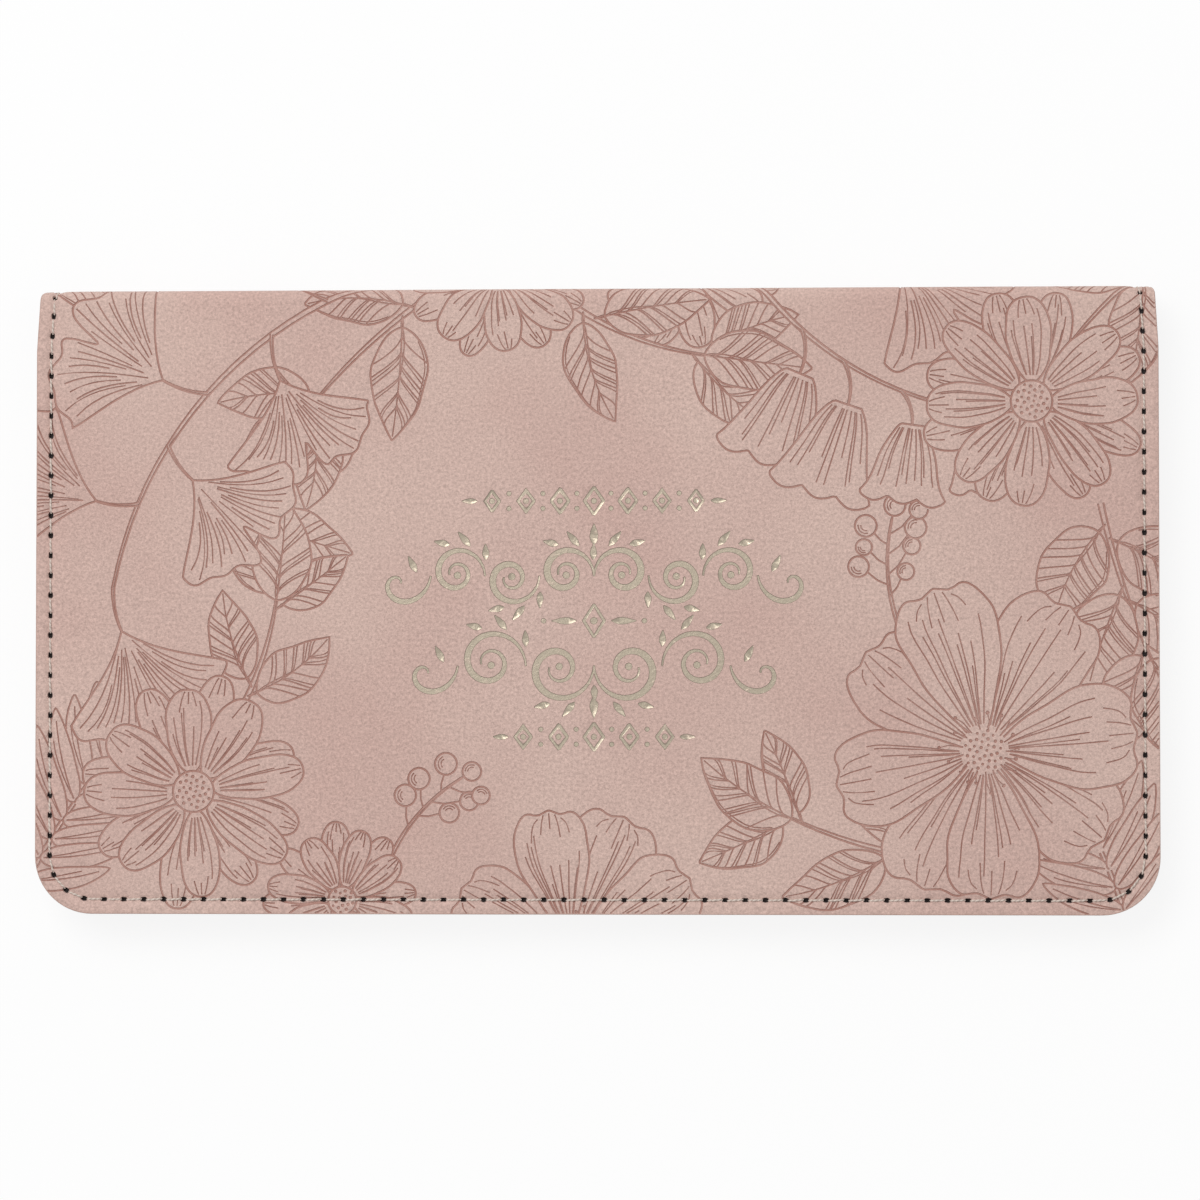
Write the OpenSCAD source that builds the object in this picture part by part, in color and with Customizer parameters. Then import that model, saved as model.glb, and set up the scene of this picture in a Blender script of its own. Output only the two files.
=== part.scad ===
// Long checkbook cover, folded shut along its top edge and lying on its back.
// X runs along the fold, +Y points to the fold and +Z to the front cover.
// The origin lies under the middle of the closed cover, on its back face.
// A side view of the closed cover is drawn once, as a block round the fold that is
// sunk layer by layer, and every skin and lining is a slice between two such blocks.

/* [Cover] */
// Width along the fold
cover_w = 165; // [140:1:190]
// Height of the closed cover, from the free edge to the fold
cover_h = 92; // [80:1:110]
// Radius of the corners at the free edge
corner_r = 8.5; // [5:0.5:14]
// Radius of the small corners at the ends of the fold
fold_corner_r = 1; // [0.5:0.1:1.6]
// How far each side edge leans in where it reaches the fold
fold_lean = 0.5; // [0.1:0.1:1]
// Length of side edge that leans in
fold_lean_h = 9; // [5:1:14]

/* [Layers] */
// Outer skin of pressed faux leather
skin_t = 1.1; // [0.8:0.1:1.4]
// Stiffener board between skin and lining
board_t = 0.6; // [0.4:0.1:1]
// Lining
lining_t = 0.4; // [0.3:0.05:0.6]
// Pocket panel, and the edges turned under it
pocket_t = 0.7; // [0.5:0.05:1]
// Glue line above and below a turned pocket edge
glue_line = 0.05; // [0.03:0.01:0.08]
// Room between the two pockets when the cover is shut
shut_gap = 0.8; // [0.6:0.1:2]

/* [Fold] */
// Outer radius of the two creases along the fold
crease_r = 1.8; // [1.5:0.1:2.4]
// Slit between the pieces that part at a crease
crease_slit = 0.1; // [0.06:0.02:0.16]
// Distance from the crease to the edge of each board
board_setback = 0.4; // [0.2:0.1:2]

/* [Pockets] */
// Height of a pocket, from the free edge to its mouth
pocket_h = 76; // [60:1:78]
// Width of the pocket edges that are turned under and sewn
turned_w = 4.2; // [3.6:0.2:6]
// Distance from the mouth to the hem stitches
hem_inset = 2.6; // [2:0.1:4]

/* [Clear divider] */
// Thickness of the clear sheet
sheet_t = 0.25; // [0.15:0.05:0.35]
// Distance from the side edges of the cover to the sheet
sheet_side = 3.8; // [3.4:0.1:6]
// Distance from the free edge of the cover to the sheet
sheet_end = 5.5; // [4:0.5:12]
// Radius of the free corners of the sheet
sheet_corner_r = 6; // [3:1:12]
// Width of the strip of sheet that is sewn to the spine
flange_w = 1.7; // [1.4:0.1:1.8]
// Room between the sewn strip and the sheet that turns
root_play = 0.25; // [0.2:0.05:0.4]

/* [Stitching] */
// Distance from the edge to the seam
seam_inset = 2.15; // [1.8:0.05:2.6]
// Distance from one needle hole to the next
stitch_pitch = 2.95; // [2.4:0.05:4]
// Thickness of the thread
thread_d = 0.45; // [0.3:0.05:0.6]
// Gap between the ends of two stitches, where the needle hole is
stitch_gap = 0.7; // [0.4:0.1:1]
// Slant of each stitch across the seam, in degrees
stitch_slant = 3; // [0:1:5]
// Width of the channel that the seam pulls into the leather
channel_w = 0.9; // [0.8:0.05:1.2]
// Depth of the channel below the surface
channel_depth = 0.3; // [0.3:0.05:0.4]

/* [Hidden] */
$fn = 64;

leather_colour = [0.78, 0.67, 0.62];
board_colour = [0.62, 0.58, 0.53];
lining_colour = [0.70, 0.60, 0.56];
pocket_colour = [0.76, 0.64, 0.59];
thread_colour = [0.86, 0.81, 0.76];
clear_colour = [0.85, 0.90, 0.92, 0.35];

// Layers of one half, counted from its outer face inwards
lining_depth = skin_t + board_t;
turned_depth = lining_depth + lining_t;
panel_depth = turned_depth + pocket_t + 2 * glue_line;
half_t = panel_depth + pocket_t;
closed_t = 2 * half_t + shut_gap;

fold_y = cover_h / 2;
free_y = -cover_h / 2;
crease_y = fold_y - crease_r;
mouth_y = free_y + pocket_h;
past = 1;

// The clear sheet is sewn to the spine lining and turns about a line beside it
flange_y = fold_y - skin_t - lining_t - sheet_t;
turn_y = flange_y - root_play;
turn_z = closed_t / 2;

// The seam runs down one side, round both free corners and up the other side
seam_r = corner_r - seam_inset;
seam_x = cover_w / 2 - seam_inset;
seam_side = crease_y - free_y - corner_r;
seam_arc = seam_r * PI / 2;
seam_bottom = cover_w - 2 * corner_r;
seam_len = 2 * seam_side + 2 * seam_arc + seam_bottom;
seam_count = round(seam_len / stitch_pitch);

// Straight rows of stitches along X stay between the side seams
row_len = 2 * (seam_x - channel_w);
row_count = round(row_len / stitch_pitch);
sheet_w = cover_w - 2 * sheet_side;
sheet_row_count = floor(sheet_w / stitch_pitch);

// Plan shapes, drawn in XY

// Outline of the closed cover: round free corners, and sides that lean in at the fold
module cover_outline() {
    side_x = cover_w / 2;
    end_x = side_x - fold_lean;
    polygon([
        [-side_x, free_y + corner_r], [side_x, free_y + corner_r],
        [side_x, fold_y - fold_lean_h], [end_x, fold_y - fold_corner_r],
        [-end_x, fold_y - fold_corner_r], [-side_x, fold_y - fold_lean_h]
    ]);
    translate([corner_r - side_x, free_y])
        square([cover_w - 2 * corner_r, 2 * corner_r]);
    translate([fold_corner_r - end_x, fold_y - 2 * fold_corner_r])
        square([2 * (end_x - fold_corner_r), 2 * fold_corner_r]);
    for (side = [-1, 1]) {
        translate([side * (side_x - corner_r), free_y + corner_r])
            circle(corner_r);
        translate([side * (end_x - fold_corner_r), fold_y - fold_corner_r])
            circle(fold_corner_r);
    }
}

// The area inside the seam, grown or shrunk, running on past the fold
module inside_seam(grow) {
    r = seam_r + grow;
    x = seam_x + grow;
    translate([-x, free_y + corner_r])
        square([2 * x, cover_h]);
    translate([r - x, free_y + corner_r - r])
        square([2 * (x - r), 2 * r]);
    for (side = [-1, 1])
        translate([side * (x - r), free_y + corner_r])
            circle(r);
}

module seam_band() {
    difference() {
        inside_seam(channel_w / 2);
        inside_seam(-channel_w / 2);
    }
}

// Side views, drawn in YZ

// The closed cover, sunk by a depth from its outer faces and rounded at both creases
module fold_block(depth) {
    r = max(crease_r - depth, 0);
    end_y = fold_y - depth;
    translate([free_y - past, depth])
        square([end_y - r - free_y + past, closed_t - 2 * depth]);
    if (r > 0) {
        translate([crease_y - past, depth + r])
            square([end_y - crease_y + past, closed_t - 2 * (depth + r)]);
        for (z = [depth + r, closed_t - depth - r])
            translate([end_y - r, z])
                circle(r);
    }
}

// One layer that wraps the block, between two depths
module layer(depth, t) {
    difference() {
        fold_block(depth);
        fold_block(depth + t);
    }
}

// The share of the back half: below the slanted slit through the outer corner of the fold
module back_share() {
    slit = crease_slit / sqrt(2);
    polygon([
        [free_y - 2 * past, -past], [fold_y + past - slit, -past],
        [fold_y - closed_t / 2 - slit, closed_t / 2], [free_y - 2 * past, closed_t / 2]
    ]);
}

// The share of the spine: the wedge between the two slits
module spine_share() {
    slit = crease_slit / sqrt(2);
    polygon([
        [fold_y - closed_t / 2 + slit, closed_t / 2], [fold_y + past + slit, -past],
        [fold_y + 2 * past, -past], [fold_y + 2 * past, closed_t + past],
        [fold_y + past + slit, closed_t + past]
    ]);
}

// Solids from plan and side view

module along_fold(w) {
    rotate([90, 0, 90])
        linear_extrude(w, center = true)
            children();
}

// Cuts a side view that runs along the fold to the outline of the cover
module trimmed() {
    intersection() {
        translate([0, 0, -past])
            linear_extrude(closed_t + 2 * past)
                cover_outline();
        along_fold(cover_w + 2 * past)
            children();
    }
}

// The channel in the outer face of the skin, over the fold and round the free corners
module seam_channel() {
    intersection() {
        translate([0, 0, -past / 2])
            linear_extrude(closed_t + past)
                seam_band();
        along_fold(cover_w)
            difference() {
                fold_block(-past);
                fold_block(channel_depth);
            }
    }
}

// Turns a piece of the back half into its twin on the front half
module on_front() {
    translate([0, 0, closed_t])
        mirror([0, 0, 1])
            children();
}

// A stitch that lies along X on the plane z = 0, flat side down
module stitch(pitch) {
    rotate([90, 0, 90])
        linear_extrude(pitch - stitch_gap, center = true)
            intersection() {
                circle(thread_d / 2, $fn = 24);
                translate([-thread_d, 0])
                    square([2 * thread_d, thread_d]);
            }
}

module stitch_row(count, pitch) {
    for (i = [0 : count - 1])
        translate([(i - (count - 1) / 2) * pitch, 0, 0])
            rotate([0, 0, stitch_slant])
                stitch(pitch);
}

// Place and heading of the seam at a distance from its start at the left end of the fold
function seam_at(s) =
    s < seam_side ? [-seam_x, crease_y - s, -90]
    : s < seam_side + seam_arc ? corner_at(-1, (s - seam_side) / seam_arc)
    : s < seam_side + seam_arc + seam_bottom
        ? [s - seam_side - seam_arc - seam_bottom / 2, free_y + seam_inset, 0]
    : s < seam_len - seam_side
        ? corner_at(1, (s - seam_side - seam_arc - seam_bottom) / seam_arc)
    : [seam_x, crease_y - seam_len + s, 90];

// Place and heading on a free corner, a share of the way round it
function corner_at(side, share) =
    let (turn = side < 0 ? 180 + 90 * share : 270 + 90 * share)
    [
        side * (seam_x - seam_r) + seam_r * cos(turn),
        free_y + corner_r + seam_r * sin(turn),
        turn + 90
    ];

// Pieces of one half, drawn for the back

module half_skin() {
    difference() {
        trimmed()
            intersection() {
                layer(0, skin_t);
                back_share();
            }
        seam_channel();
    }
}

module half_board() {
    trimmed()
        translate([free_y - past, skin_t])
            square([crease_y - board_setback - free_y + past, board_t]);
}

module half_lining() {
    trimmed()
        intersection() {
            layer(lining_depth, lining_t);
            back_share();
        }
}

// The panel carries the hem stitches in a channel, and its turned edges lie under it
module half_pocket() {
    difference() {
        trimmed()
            translate([free_y - past, panel_depth])
                square([pocket_h + past, pocket_t]);
        translate([-cover_w / 2 - past, mouth_y - hem_inset - channel_w / 2, half_t - channel_depth])
            cube([cover_w + 2 * past, channel_w, channel_depth + past]);
    }
    turned_z = turned_depth + glue_line;
    trimmed()
        translate([free_y - past, turned_z])
            square([turned_w + past, pocket_t]);
    for (side = [-1, 1])
        intersection() {
            trimmed()
                translate([free_y + turned_w + glue_line, turned_z])
                    square([pocket_h - turned_w - glue_line, pocket_t]);
            translate([side * (cover_w - turned_w) / 2 - turned_w / 2, free_y, 0])
                cube([turned_w, cover_h, closed_t]);
        }
}

module half_seam_thread() {
    pitch = seam_len / seam_count;
    for (i = [0 : seam_count - 1]) {
        place = seam_at((i + 0.5) * pitch);
        translate([place.x, place.y, channel_depth])
            mirror([0, 0, 1])
                rotate([0, 0, place.z + stitch_slant])
                    stitch(pitch);
    }
}

module half_hem_thread() {
    translate([0, mouth_y - hem_inset, half_t - channel_depth])
        stitch_row(row_count, row_len / row_count);
}

// The nodes

module back_skin() {
    color(leather_colour)
        half_skin();
}

module back_board() {
    color(board_colour)
        half_board();
}

module back_lining() {
    color(lining_colour)
        half_lining();
}

module back_pocket() {
    color(pocket_colour)
        half_pocket();
}

module back_seam_thread() {
    color(thread_colour)
        half_seam_thread();
}

module back_hem_thread() {
    color(thread_colour)
        half_hem_thread();
}

module front_skin() {
    color(leather_colour)
        on_front()
            half_skin();
}

module front_board() {
    color(board_colour)
        on_front()
            half_board();
}

module front_lining() {
    color(lining_colour)
        on_front()
            half_lining();
}

module front_pocket() {
    color(pocket_colour)
        on_front()
            half_pocket();
}

module front_seam_thread() {
    color(thread_colour)
        on_front()
            half_seam_thread();
}

module front_hem_thread() {
    color(thread_colour)
        on_front()
            half_hem_thread();
}

module spine_skin() {
    color(leather_colour)
        difference() {
            trimmed()
                intersection() {
                    layer(0, skin_t);
                    spine_share();
                }
            seam_channel();
        }
}

module spine_lining() {
    color(lining_colour)
        trimmed()
            intersection() {
                layer(skin_t, lining_t);
                spine_share();
            }
}

// One stitch stands in the channel at each end of the spine
module spine_seam_thread() {
    color(thread_colour)
        for (side = [-1, 1])
            translate([side * seam_x, fold_y - channel_depth, closed_t / 2])
                rotate([-90, 0, 0])
                    rotate([0, 0, 90 + stitch_slant])
                        stitch(stitch_pitch);
}

// The strip of the clear sheet that is sewn flat to the spine lining
module divider_flange() {
    color(clear_colour)
        translate([-sheet_w / 2, flange_y, turn_z - sheet_t / 2 - flange_w])
            cube([sheet_w, sheet_t, flange_w]);
}

module divider_thread() {
    color(thread_colour)
        translate([0, flange_y, turn_z - sheet_t / 2 - flange_w / 2])
            rotate([90, 0, 0])
                stitch_row(sheet_row_count, stitch_pitch);
}

// The clear sheet that turns between the two pockets
module clear_divider() {
    end_y = free_y + sheet_end;
    color(clear_colour)
        translate([0, 0, turn_z - sheet_t / 2])
            linear_extrude(sheet_t) {
                translate([-sheet_w / 2, end_y + sheet_corner_r])
                    square([sheet_w, turn_y - end_y - sheet_corner_r]);
                translate([sheet_corner_r - sheet_w / 2, end_y])
                    square([sheet_w - 2 * sheet_corner_r, 2 * sheet_corner_r]);
                for (side = [-1, 1])
                    translate([side * (sheet_w / 2 - sheet_corner_r), end_y + sheet_corner_r])
                        circle(sheet_corner_r);
            }
}

back_skin();
back_board();
back_lining();
back_pocket();
back_seam_thread();
back_hem_thread();
spine_skin();
spine_lining();
spine_seam_thread();
divider_flange();
divider_thread();
clear_divider();
front_skin();
front_board();
front_lining();
front_pocket();
front_seam_thread();
front_hem_thread();
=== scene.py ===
"""Looks of a long folding cover in dusty pink faux leather, lying shut on its back.

Lengths are written in millimetres and become metres where a mesh is made. A sheet of leather or lining is
drawn flat, with x along the fold and s from the free edge towards the fold, and is then laid over its half.
The whole outer sheet is one pattern: v runs from the free edge of the front, over the fold, to the back.
"""
import math
import random

import bmesh
import bpy
import numpy as np
from mathutils import Matrix, Vector, geometry
from mathutils.kdtree import KDTree


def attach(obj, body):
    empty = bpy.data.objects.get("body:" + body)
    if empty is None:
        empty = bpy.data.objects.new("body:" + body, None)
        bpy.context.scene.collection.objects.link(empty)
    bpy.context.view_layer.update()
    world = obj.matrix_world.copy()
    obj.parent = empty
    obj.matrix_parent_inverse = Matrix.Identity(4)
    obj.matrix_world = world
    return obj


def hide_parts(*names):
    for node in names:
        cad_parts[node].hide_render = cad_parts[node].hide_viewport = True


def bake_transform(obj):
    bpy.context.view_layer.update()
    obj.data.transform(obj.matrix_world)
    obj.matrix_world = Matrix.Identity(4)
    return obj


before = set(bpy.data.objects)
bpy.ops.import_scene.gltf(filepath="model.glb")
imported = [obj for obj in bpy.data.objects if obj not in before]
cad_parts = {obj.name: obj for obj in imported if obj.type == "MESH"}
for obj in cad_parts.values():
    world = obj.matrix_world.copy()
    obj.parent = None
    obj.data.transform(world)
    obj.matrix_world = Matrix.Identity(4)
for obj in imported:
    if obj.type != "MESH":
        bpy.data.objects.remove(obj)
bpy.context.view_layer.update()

MM = 0.001
PI = math.pi

# Sizes of the cover, the same as in the part's source
COVER_W = 165.0
COVER_H = 92.0
CORNER_R = 8.5
FOLD_CORNER_R = 1.0
FOLD_LEAN = 0.5
FOLD_LEAN_H = 9.0
CLOSED_T = 8.0
CREASE_R = 1.8
SEAM_INSET = 2.15
STITCH_PITCH = 2.95

# The thread, thinner than the plain one of the part's source
THREAD_D = 0.33

# Thicknesses of the sheets, and the levels of the upper faces of lining, turned edge and pocket at the back
SKIN_T = 1.1
LINING_T = 0.4
POCKET_T = 0.7
SHEET_T = 0.25
LINING_TOP = 2.1
TURNED_TOP = 2.85
HALF_T = 3.6

# Pockets and clear sheet
POCKET_H = 76.0
TURNED_W = 4.2
HEM_INSET = 2.6
SHEET_SIDE = 3.8
SHEET_END = 5.5
SHEET_CORNER_R = 6.0

# The flat sheet of one half: up to its crease, round it, and up to the middle of the fold
HALF_W = COVER_W / 2
FREE_Y = -COVER_H / 2
FLAT = COVER_H - CREASE_R
TURN = CREASE_R * PI / 2
REACH = FLAT + TURN + CLOSED_T / 2 - CREASE_R
SHEET = 2 * REACH

# Widths of the pen's strokes, depths of their grooves and of the foil, and half the width of a groove's side
EDGE, RIB, VEIN, HAIR = 0.25, 0.21, 0.17, 0.14
PRESS_DEPTH = 0.13
FOIL_DEPTH = 0.07
BEVEL = 0.055


# Pen lines of the pressed ornament

def resample(points, step=0.45):
    """The same line with evenly spaced points."""
    points = np.asarray(points, float)
    run = np.concatenate([[0], np.cumsum(np.hypot(*np.diff(points, axis=0).T))])
    at = np.linspace(0, run[-1], max(2, int(math.ceil(run[-1] / step)) + 1))
    return np.column_stack([np.interp(at, run, points[:, k]) for k in (0, 1)])


def inside(points, outline, at_once=20000):
    """Which points lie inside a closed outline, so many of them at once to spare memory."""
    found = np.zeros(len(points), bool)
    x0, y0 = outline.T
    x1, y1 = np.roll(outline, -1, 0).T
    rise = np.where(y1 == y0, 1.0, y1 - y0)
    for start in range(0, len(points), at_once):
        x, y = points[start:start + at_once].T[:, :, None]
        crosses = (y0 > y) != (y1 > y)
        left = x < x0 + (y - y0) * (x1 - x0) / rise
        found[start:start + at_once] = (crosses & left).sum(1) % 2 == 1
    return found


class Sketch:
    """Pen lines drawn from front to back: a shape that is laid down hides what is drawn after it."""

    def __init__(self):
        self.lines = []
        self.covers = []
        self.least = np.zeros((0, 2))
        self.most = np.zeros((0, 2))

    def cover(self, outline):
        self.covers.append(outline)
        self.least = np.vstack([self.least, outline.min(0)])
        self.most = np.vstack([self.most, outline.max(0)])

    def line(self, points, width, end=None):
        """A stroke of the pen, its width running from width to end along it."""
        points = resample(points)
        widths = np.linspace(width, width if end is None else end, len(points))
        near = (self.least <= points.max(0)).all(1) & (self.most >= points.min(0)).all(1)
        covers = [self.covers[i] for i in np.flatnonzero(near)]
        lost = np.zeros(len(points), bool)
        for outline in covers:
            lost |= inside(points, outline)
        edges = np.flatnonzero(np.diff(lost.astype(int)))
        for first, last in zip([0, *(edges + 1)], [*edges, len(points) - 1]):
            if lost[first]:
                continue
            run = points[first:last + 1]
            wide = widths[first:last + 1]
            if first > 0:
                run = np.vstack([meet(points[first], points[first - 1], covers), run])
                wide = np.append(wide[0], wide)
            if last < len(points) - 1:
                run = np.vstack([run, meet(points[last], points[last + 1], covers)])
                wide = np.append(wide, wide[-1])
            # A scrap that the shapes leave of a stroke isn't drawn
            if len(run) > (2 if len(run) == len(points) else 4):
                self.lines.append((run, wide))

    def dot(self, point, width):
        """A single touch of the pen."""
        near = (self.least <= point).all(1) & (self.most >= point).all(1)
        if not any(inside(point[None], self.covers[i])[0] for i in np.flatnonzero(near)):
            self.lines.append((point[None], np.array([width])))


def meet(seen, unseen, covers):
    """Where the way from a seen point to an unseen one goes under a shape."""
    for _ in range(5):
        middle = (seen + unseen) / 2
        if any(inside(middle[None], outline)[0] for outline in covers):
            unseen = middle
        else:
            seen = middle
    return seen


def spot(x, y, angle, along, across=0.0):
    """A point given along and across a heading."""
    c, s = math.cos(angle), math.sin(angle)
    return np.array([x + c * along - s * across, y + s * along + c * across])


def circle(x, y, radius, count=30):
    ring = np.linspace(0, 2 * PI, count)
    return np.column_stack([x + radius * np.cos(ring), y + radius * np.sin(ring)])


class Blade:
    """A leaf or petal about a bent midline. at(t, u) lies a share t along it and u of the way to its edge."""

    def __init__(self, x, y, angle, length, width, bend, base=0.7, tip=0.9, notch=0.0, ripple=0.0,
                 phase=0.0):
        self.root, self.angle, self.length = (x, y), angle, length
        self.half, self.bend = width / 2, bend or 1e-4
        self.base, self.tip, self.notch = base, tip, notch
        self.ripple, self.phase = ripple, phase
        peak = base / (base + tip)
        self.scale = 1 / (peak**base * (1 - peak) ** tip)

    def at(self, t, u):
        t, u = np.broadcast_arrays(np.asarray(t, float), np.asarray(u, float))
        swell = self.scale * np.clip(t, 0, 1) ** self.base * np.clip(1 - t, 0, 1) ** self.tip
        lobes = 1 - np.abs(np.sin(1.5 * PI * (u * swell + 1)))
        side = self.phase + np.where(u < 0, 2.6, 0.0)
        waves = np.sin(8.1 * t + side) + 0.55 * np.sin(17.0 * t + 2.3 * side)
        swell = swell * (1 + self.ripple * np.clip(4.5 * t * (1 - t), 0, 1) * waves)
        t = t - self.notch * lobes * np.clip(4 * t - 3, 0, 1)
        turn = self.bend * t
        along = self.length * np.sin(turn) / self.bend
        across = self.length * (1 - np.cos(turn)) / self.bend
        out = u * self.half * swell
        along = along - np.sin(turn) * out
        across = across + np.cos(turn) * out
        return np.stack(spot(*self.root, self.angle, along, across), -1)

    def outline(self, n=30):
        t = (1 - np.cos(np.linspace(0, PI, n))) / 2
        return np.concatenate([self.at(t, 1), self.at(t[::-1], -1)[1:]])

    def path(self, t0, t1, u0, u1, curl=1.0):
        """A line inside the blade; curl above 1 starts along the midline."""
        share = np.linspace(0, 1, 12)
        return self.at(t0 + (t1 - t0) * share, u0 + (u1 - u0) * share**curl)


def leaf(sk, blade, veins, rng):
    """A leaf with a rib that splits towards its stalk and long curved veins, many of them in pairs."""
    sk.line(blade.outline(36), EDGE)
    sk.line(blade.path(0, 0.96, 0, 0), RIB, HAIR)
    sk.line(blade.path(0, 0.45, 0.16, 0.02, 1.5), VEIN, HAIR)
    for side in (-1, 1):
        for k in range(veins):
            t = 0.03 + 0.72 * (k + rng.uniform(0.15, 0.6)) / veins
            reach = min(0.975, t + rng.uniform(0.24, 0.32) * (1 - 0.5 * t))
            sk.line(blade.path(t, reach, 0, side * 0.98, 1.3), VEIN)
            if rng.random() < 0.62:
                step = rng.uniform(0.025, 0.045)
                sk.line(blade.path(t + 0.5 * step, min(0.985, reach + step), 0, side * 0.97, 1.4), HAIR)
    if rng.random() < 0.5:
        side = rng.choice((-1, 1))
        sk.line(blade.path(0.12, 0.9, side * 0.88, side * 0.93), HAIR)
    sk.cover(blade.outline(36))


def seeds(sk, x, y, core):
    """The seeded middle of a flower, its dots set in a spiral."""
    golden_angle = 2.39996
    count = int(3.0 * core**2) + 8
    for k in range(count):
        r = core * math.sqrt((k + 0.5) / count)
        sk.dot(spot(x, y, k * golden_angle, r), 0.46 if k % 3 else 0.36)


def petal_lines(sk, petal, count, rng):
    """Long lines that fan out from the root of a petal, in pairs, and short ones from its rim."""
    for j in range(count):
        u = 0.84 * (2 * (j + 0.5) / count - 1) + rng.uniform(-0.05, 0.05)
        stop = rng.uniform(0.5, 0.9)
        sk.line(petal.path(0.1, stop, u * 0.75, u, 1.1), VEIN, HAIR)
        if rng.random() < 0.6:
            sk.line(petal.path(0.14, stop - rng.uniform(0.05, 0.2), u * 0.75 + 0.05, u + 0.09, 1.1), HAIR)
    for j in range(count - 1):
        u = 0.8 * (2 * (j + 1) / count - 1)
        sk.line(petal.path(0.97, rng.uniform(0.72, 0.86), u * 0.9, u, 1.0), HAIR)


def cosmos(sk, x, y, angle, radius, rng):
    """An open flower with broad rippled petals round a small seeded disc and its stamens."""
    core = radius * 0.13
    petals, stamens = 8, 17
    seeds(sk, x, y, core)
    for k in range(stamens):
        a = 2 * PI * k / stamens + rng.uniform(-0.1, 0.1)
        reach = radius * rng.uniform(0.2, 0.29)
        tip = spot(x, y, a + 0.1, reach)
        sk.line(np.array([spot(x, y, a, core * 1.05), spot(x, y, a + 0.02, reach * 0.8), tip]), HAIR)
        sk.dot(tip, 0.56)
    sk.cover(circle(x, y, core * 1.15))
    for k in [*range(0, petals, 2), *range(1, petals, 2)]:
        a = angle + 2 * PI * k / petals + rng.uniform(-0.09, 0.09)
        root = spot(x, y, a, core * 0.5)
        long = radius * rng.uniform(0.88, 1.02)
        petal = Blade(*root, a, long, radius * 0.62 * rng.uniform(0.92, 1.14), rng.uniform(-0.24, 0.24),
                      0.85, 0.3, 0.05, 0.035, rng.uniform(0, 6))
        sk.line(petal.outline(40), EDGE)
        petal_lines(sk, petal, 6, rng)
        sk.cover(petal.outline(40))


def daisy(sk, x, y, angle, radius, petals, rng):
    """An open flower: a seeded disc, a front ring of petals and a second ring in the gaps."""
    core = radius * 0.19
    sk.line(circle(x, y, core), EDGE)
    seeds(sk, x, y, core * 0.86)
    sk.cover(circle(x, y, core))
    for layer, (reach, wide) in enumerate(((1.0, 0.4), (1.06, 0.36))):
        for k in range(petals):
            a = angle + 2 * PI * (k + 0.5 * layer) / petals + rng.uniform(-0.07, 0.07)
            root = spot(x, y, a, core * 0.85)
            long = (radius - core * 0.85) * reach * rng.uniform(0.92, 1.05)
            petal = Blade(*root, a, long, radius * wide * rng.uniform(0.9, 1.1), rng.uniform(-0.3, 0.3),
                          0.62, 0.42, 0, 0.03, rng.uniform(0, 6))
            sk.line(petal.outline(), EDGE)
            petal_lines(sk, petal, 4, rng)
            sk.cover(petal.outline())


def bow(x, y, angle, length, bend, n=24):
    """A stalk's line: from a point, bending evenly by an angle in all."""
    return Blade(x, y, angle, length, 0, bend).at(np.linspace(0, 1, n), 0.0)


def heading(points, i):
    a, b = points[max(i - 1, 0)], points[min(i + 1, len(points) - 1)]
    return math.atan2(b[1] - a[1], b[0] - a[0])


def stem(sk, points, gap):
    """A stalk as two lines a gap apart that close towards the tip."""
    points = resample(points, 1.0)
    along = np.gradient(points, axis=0)
    normal = np.column_stack([-along[:, 1], along[:, 0]]) / np.hypot(*along.T)[:, None]
    half = np.linspace(gap / 2, gap / 6, len(points))[:, None]
    sk.line(points + normal * half, EDGE)
    sk.line(points - normal * half, RIB)
    sk.cover(np.concatenate([points + normal * half, (points - normal * half)[::-1]]))


def sprig(sk, x, y, angle, length, bend, pairs, size, slim, rng, tip=1.0, base=0.66):
    """A twig with leaves on both sides and one at its tip."""
    line = bow(x, y, angle, length, bend)
    last = len(line) - 1

    def grown(root, a, long, curve):
        wide = long * slim * rng.uniform(0.9, 1.12)
        return Blade(*root, a, long, wide, curve, base, tip, 0, 0.045, rng.uniform(0, 6))

    leaf(sk, grown(line[last], heading(line, last), size, rng.uniform(-0.35, 0.35)), 6, rng)
    for k in range(pairs - 1, -1, -1):
        i = int(last * (0.14 + 0.78 * k / max(pairs - 1, 1)))
        for side in (-1, 1):
            j = min(last, i + (2 if side > 0 else 0))
            long = size * rng.uniform(0.85, 1.08) * (1 - 0.18 * k / pairs)
            a = heading(line, j) + side * 0.85 * rng.uniform(0.85, 1.15)
            root = spot(*line[j], a, size * 0.1)
            leaf(sk, grown(root, a, long, -side * rng.uniform(0.05, 0.55)), 6, rng)
            for shift in (-0.16, 0.16):
                neck = [line[j], spot(*root, a, -0.3, shift), spot(*root, a, 0.2, shift * 0.5)]
                sk.line(np.array(neck), RIB)
    stem(sk, line, 0.8)


def fern(sk, x, y, angle, length, bend, pairs, size, rng):
    """A frond: a stalk with small slim blades that shorten to its tip. It is even, so rng stays unused."""
    line = bow(x, y, angle, length, bend, 60)
    last = len(line) - 1
    for k in range(pairs):
        share = 0.1 + 0.88 * k / (pairs - 1)
        i = int(last * share)
        grow = size * (math.sin(PI * min(1, 0.22 + 0.78 * share)) ** 0.8 + 0.12)
        for side in (-1, 1):
            a = heading(line, i) + side * (1.15 - 0.35 * share)
            blade = Blade(*line[i], a, grow, max(1.5, grow * 0.27), -side * 0.35, 0.5, 0.8, 0, 0.03, k + side)
            sk.line(blade.outline(16), RIB)
            sk.line(blade.path(0.04, 0.86, 0, 0), VEIN, HAIR)
            sk.line(blade.path(0.1, 0.66, 0.1, 0.5), HAIR)
            sk.cover(blade.outline(16))
    stem(sk, line, 0.7)


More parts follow.
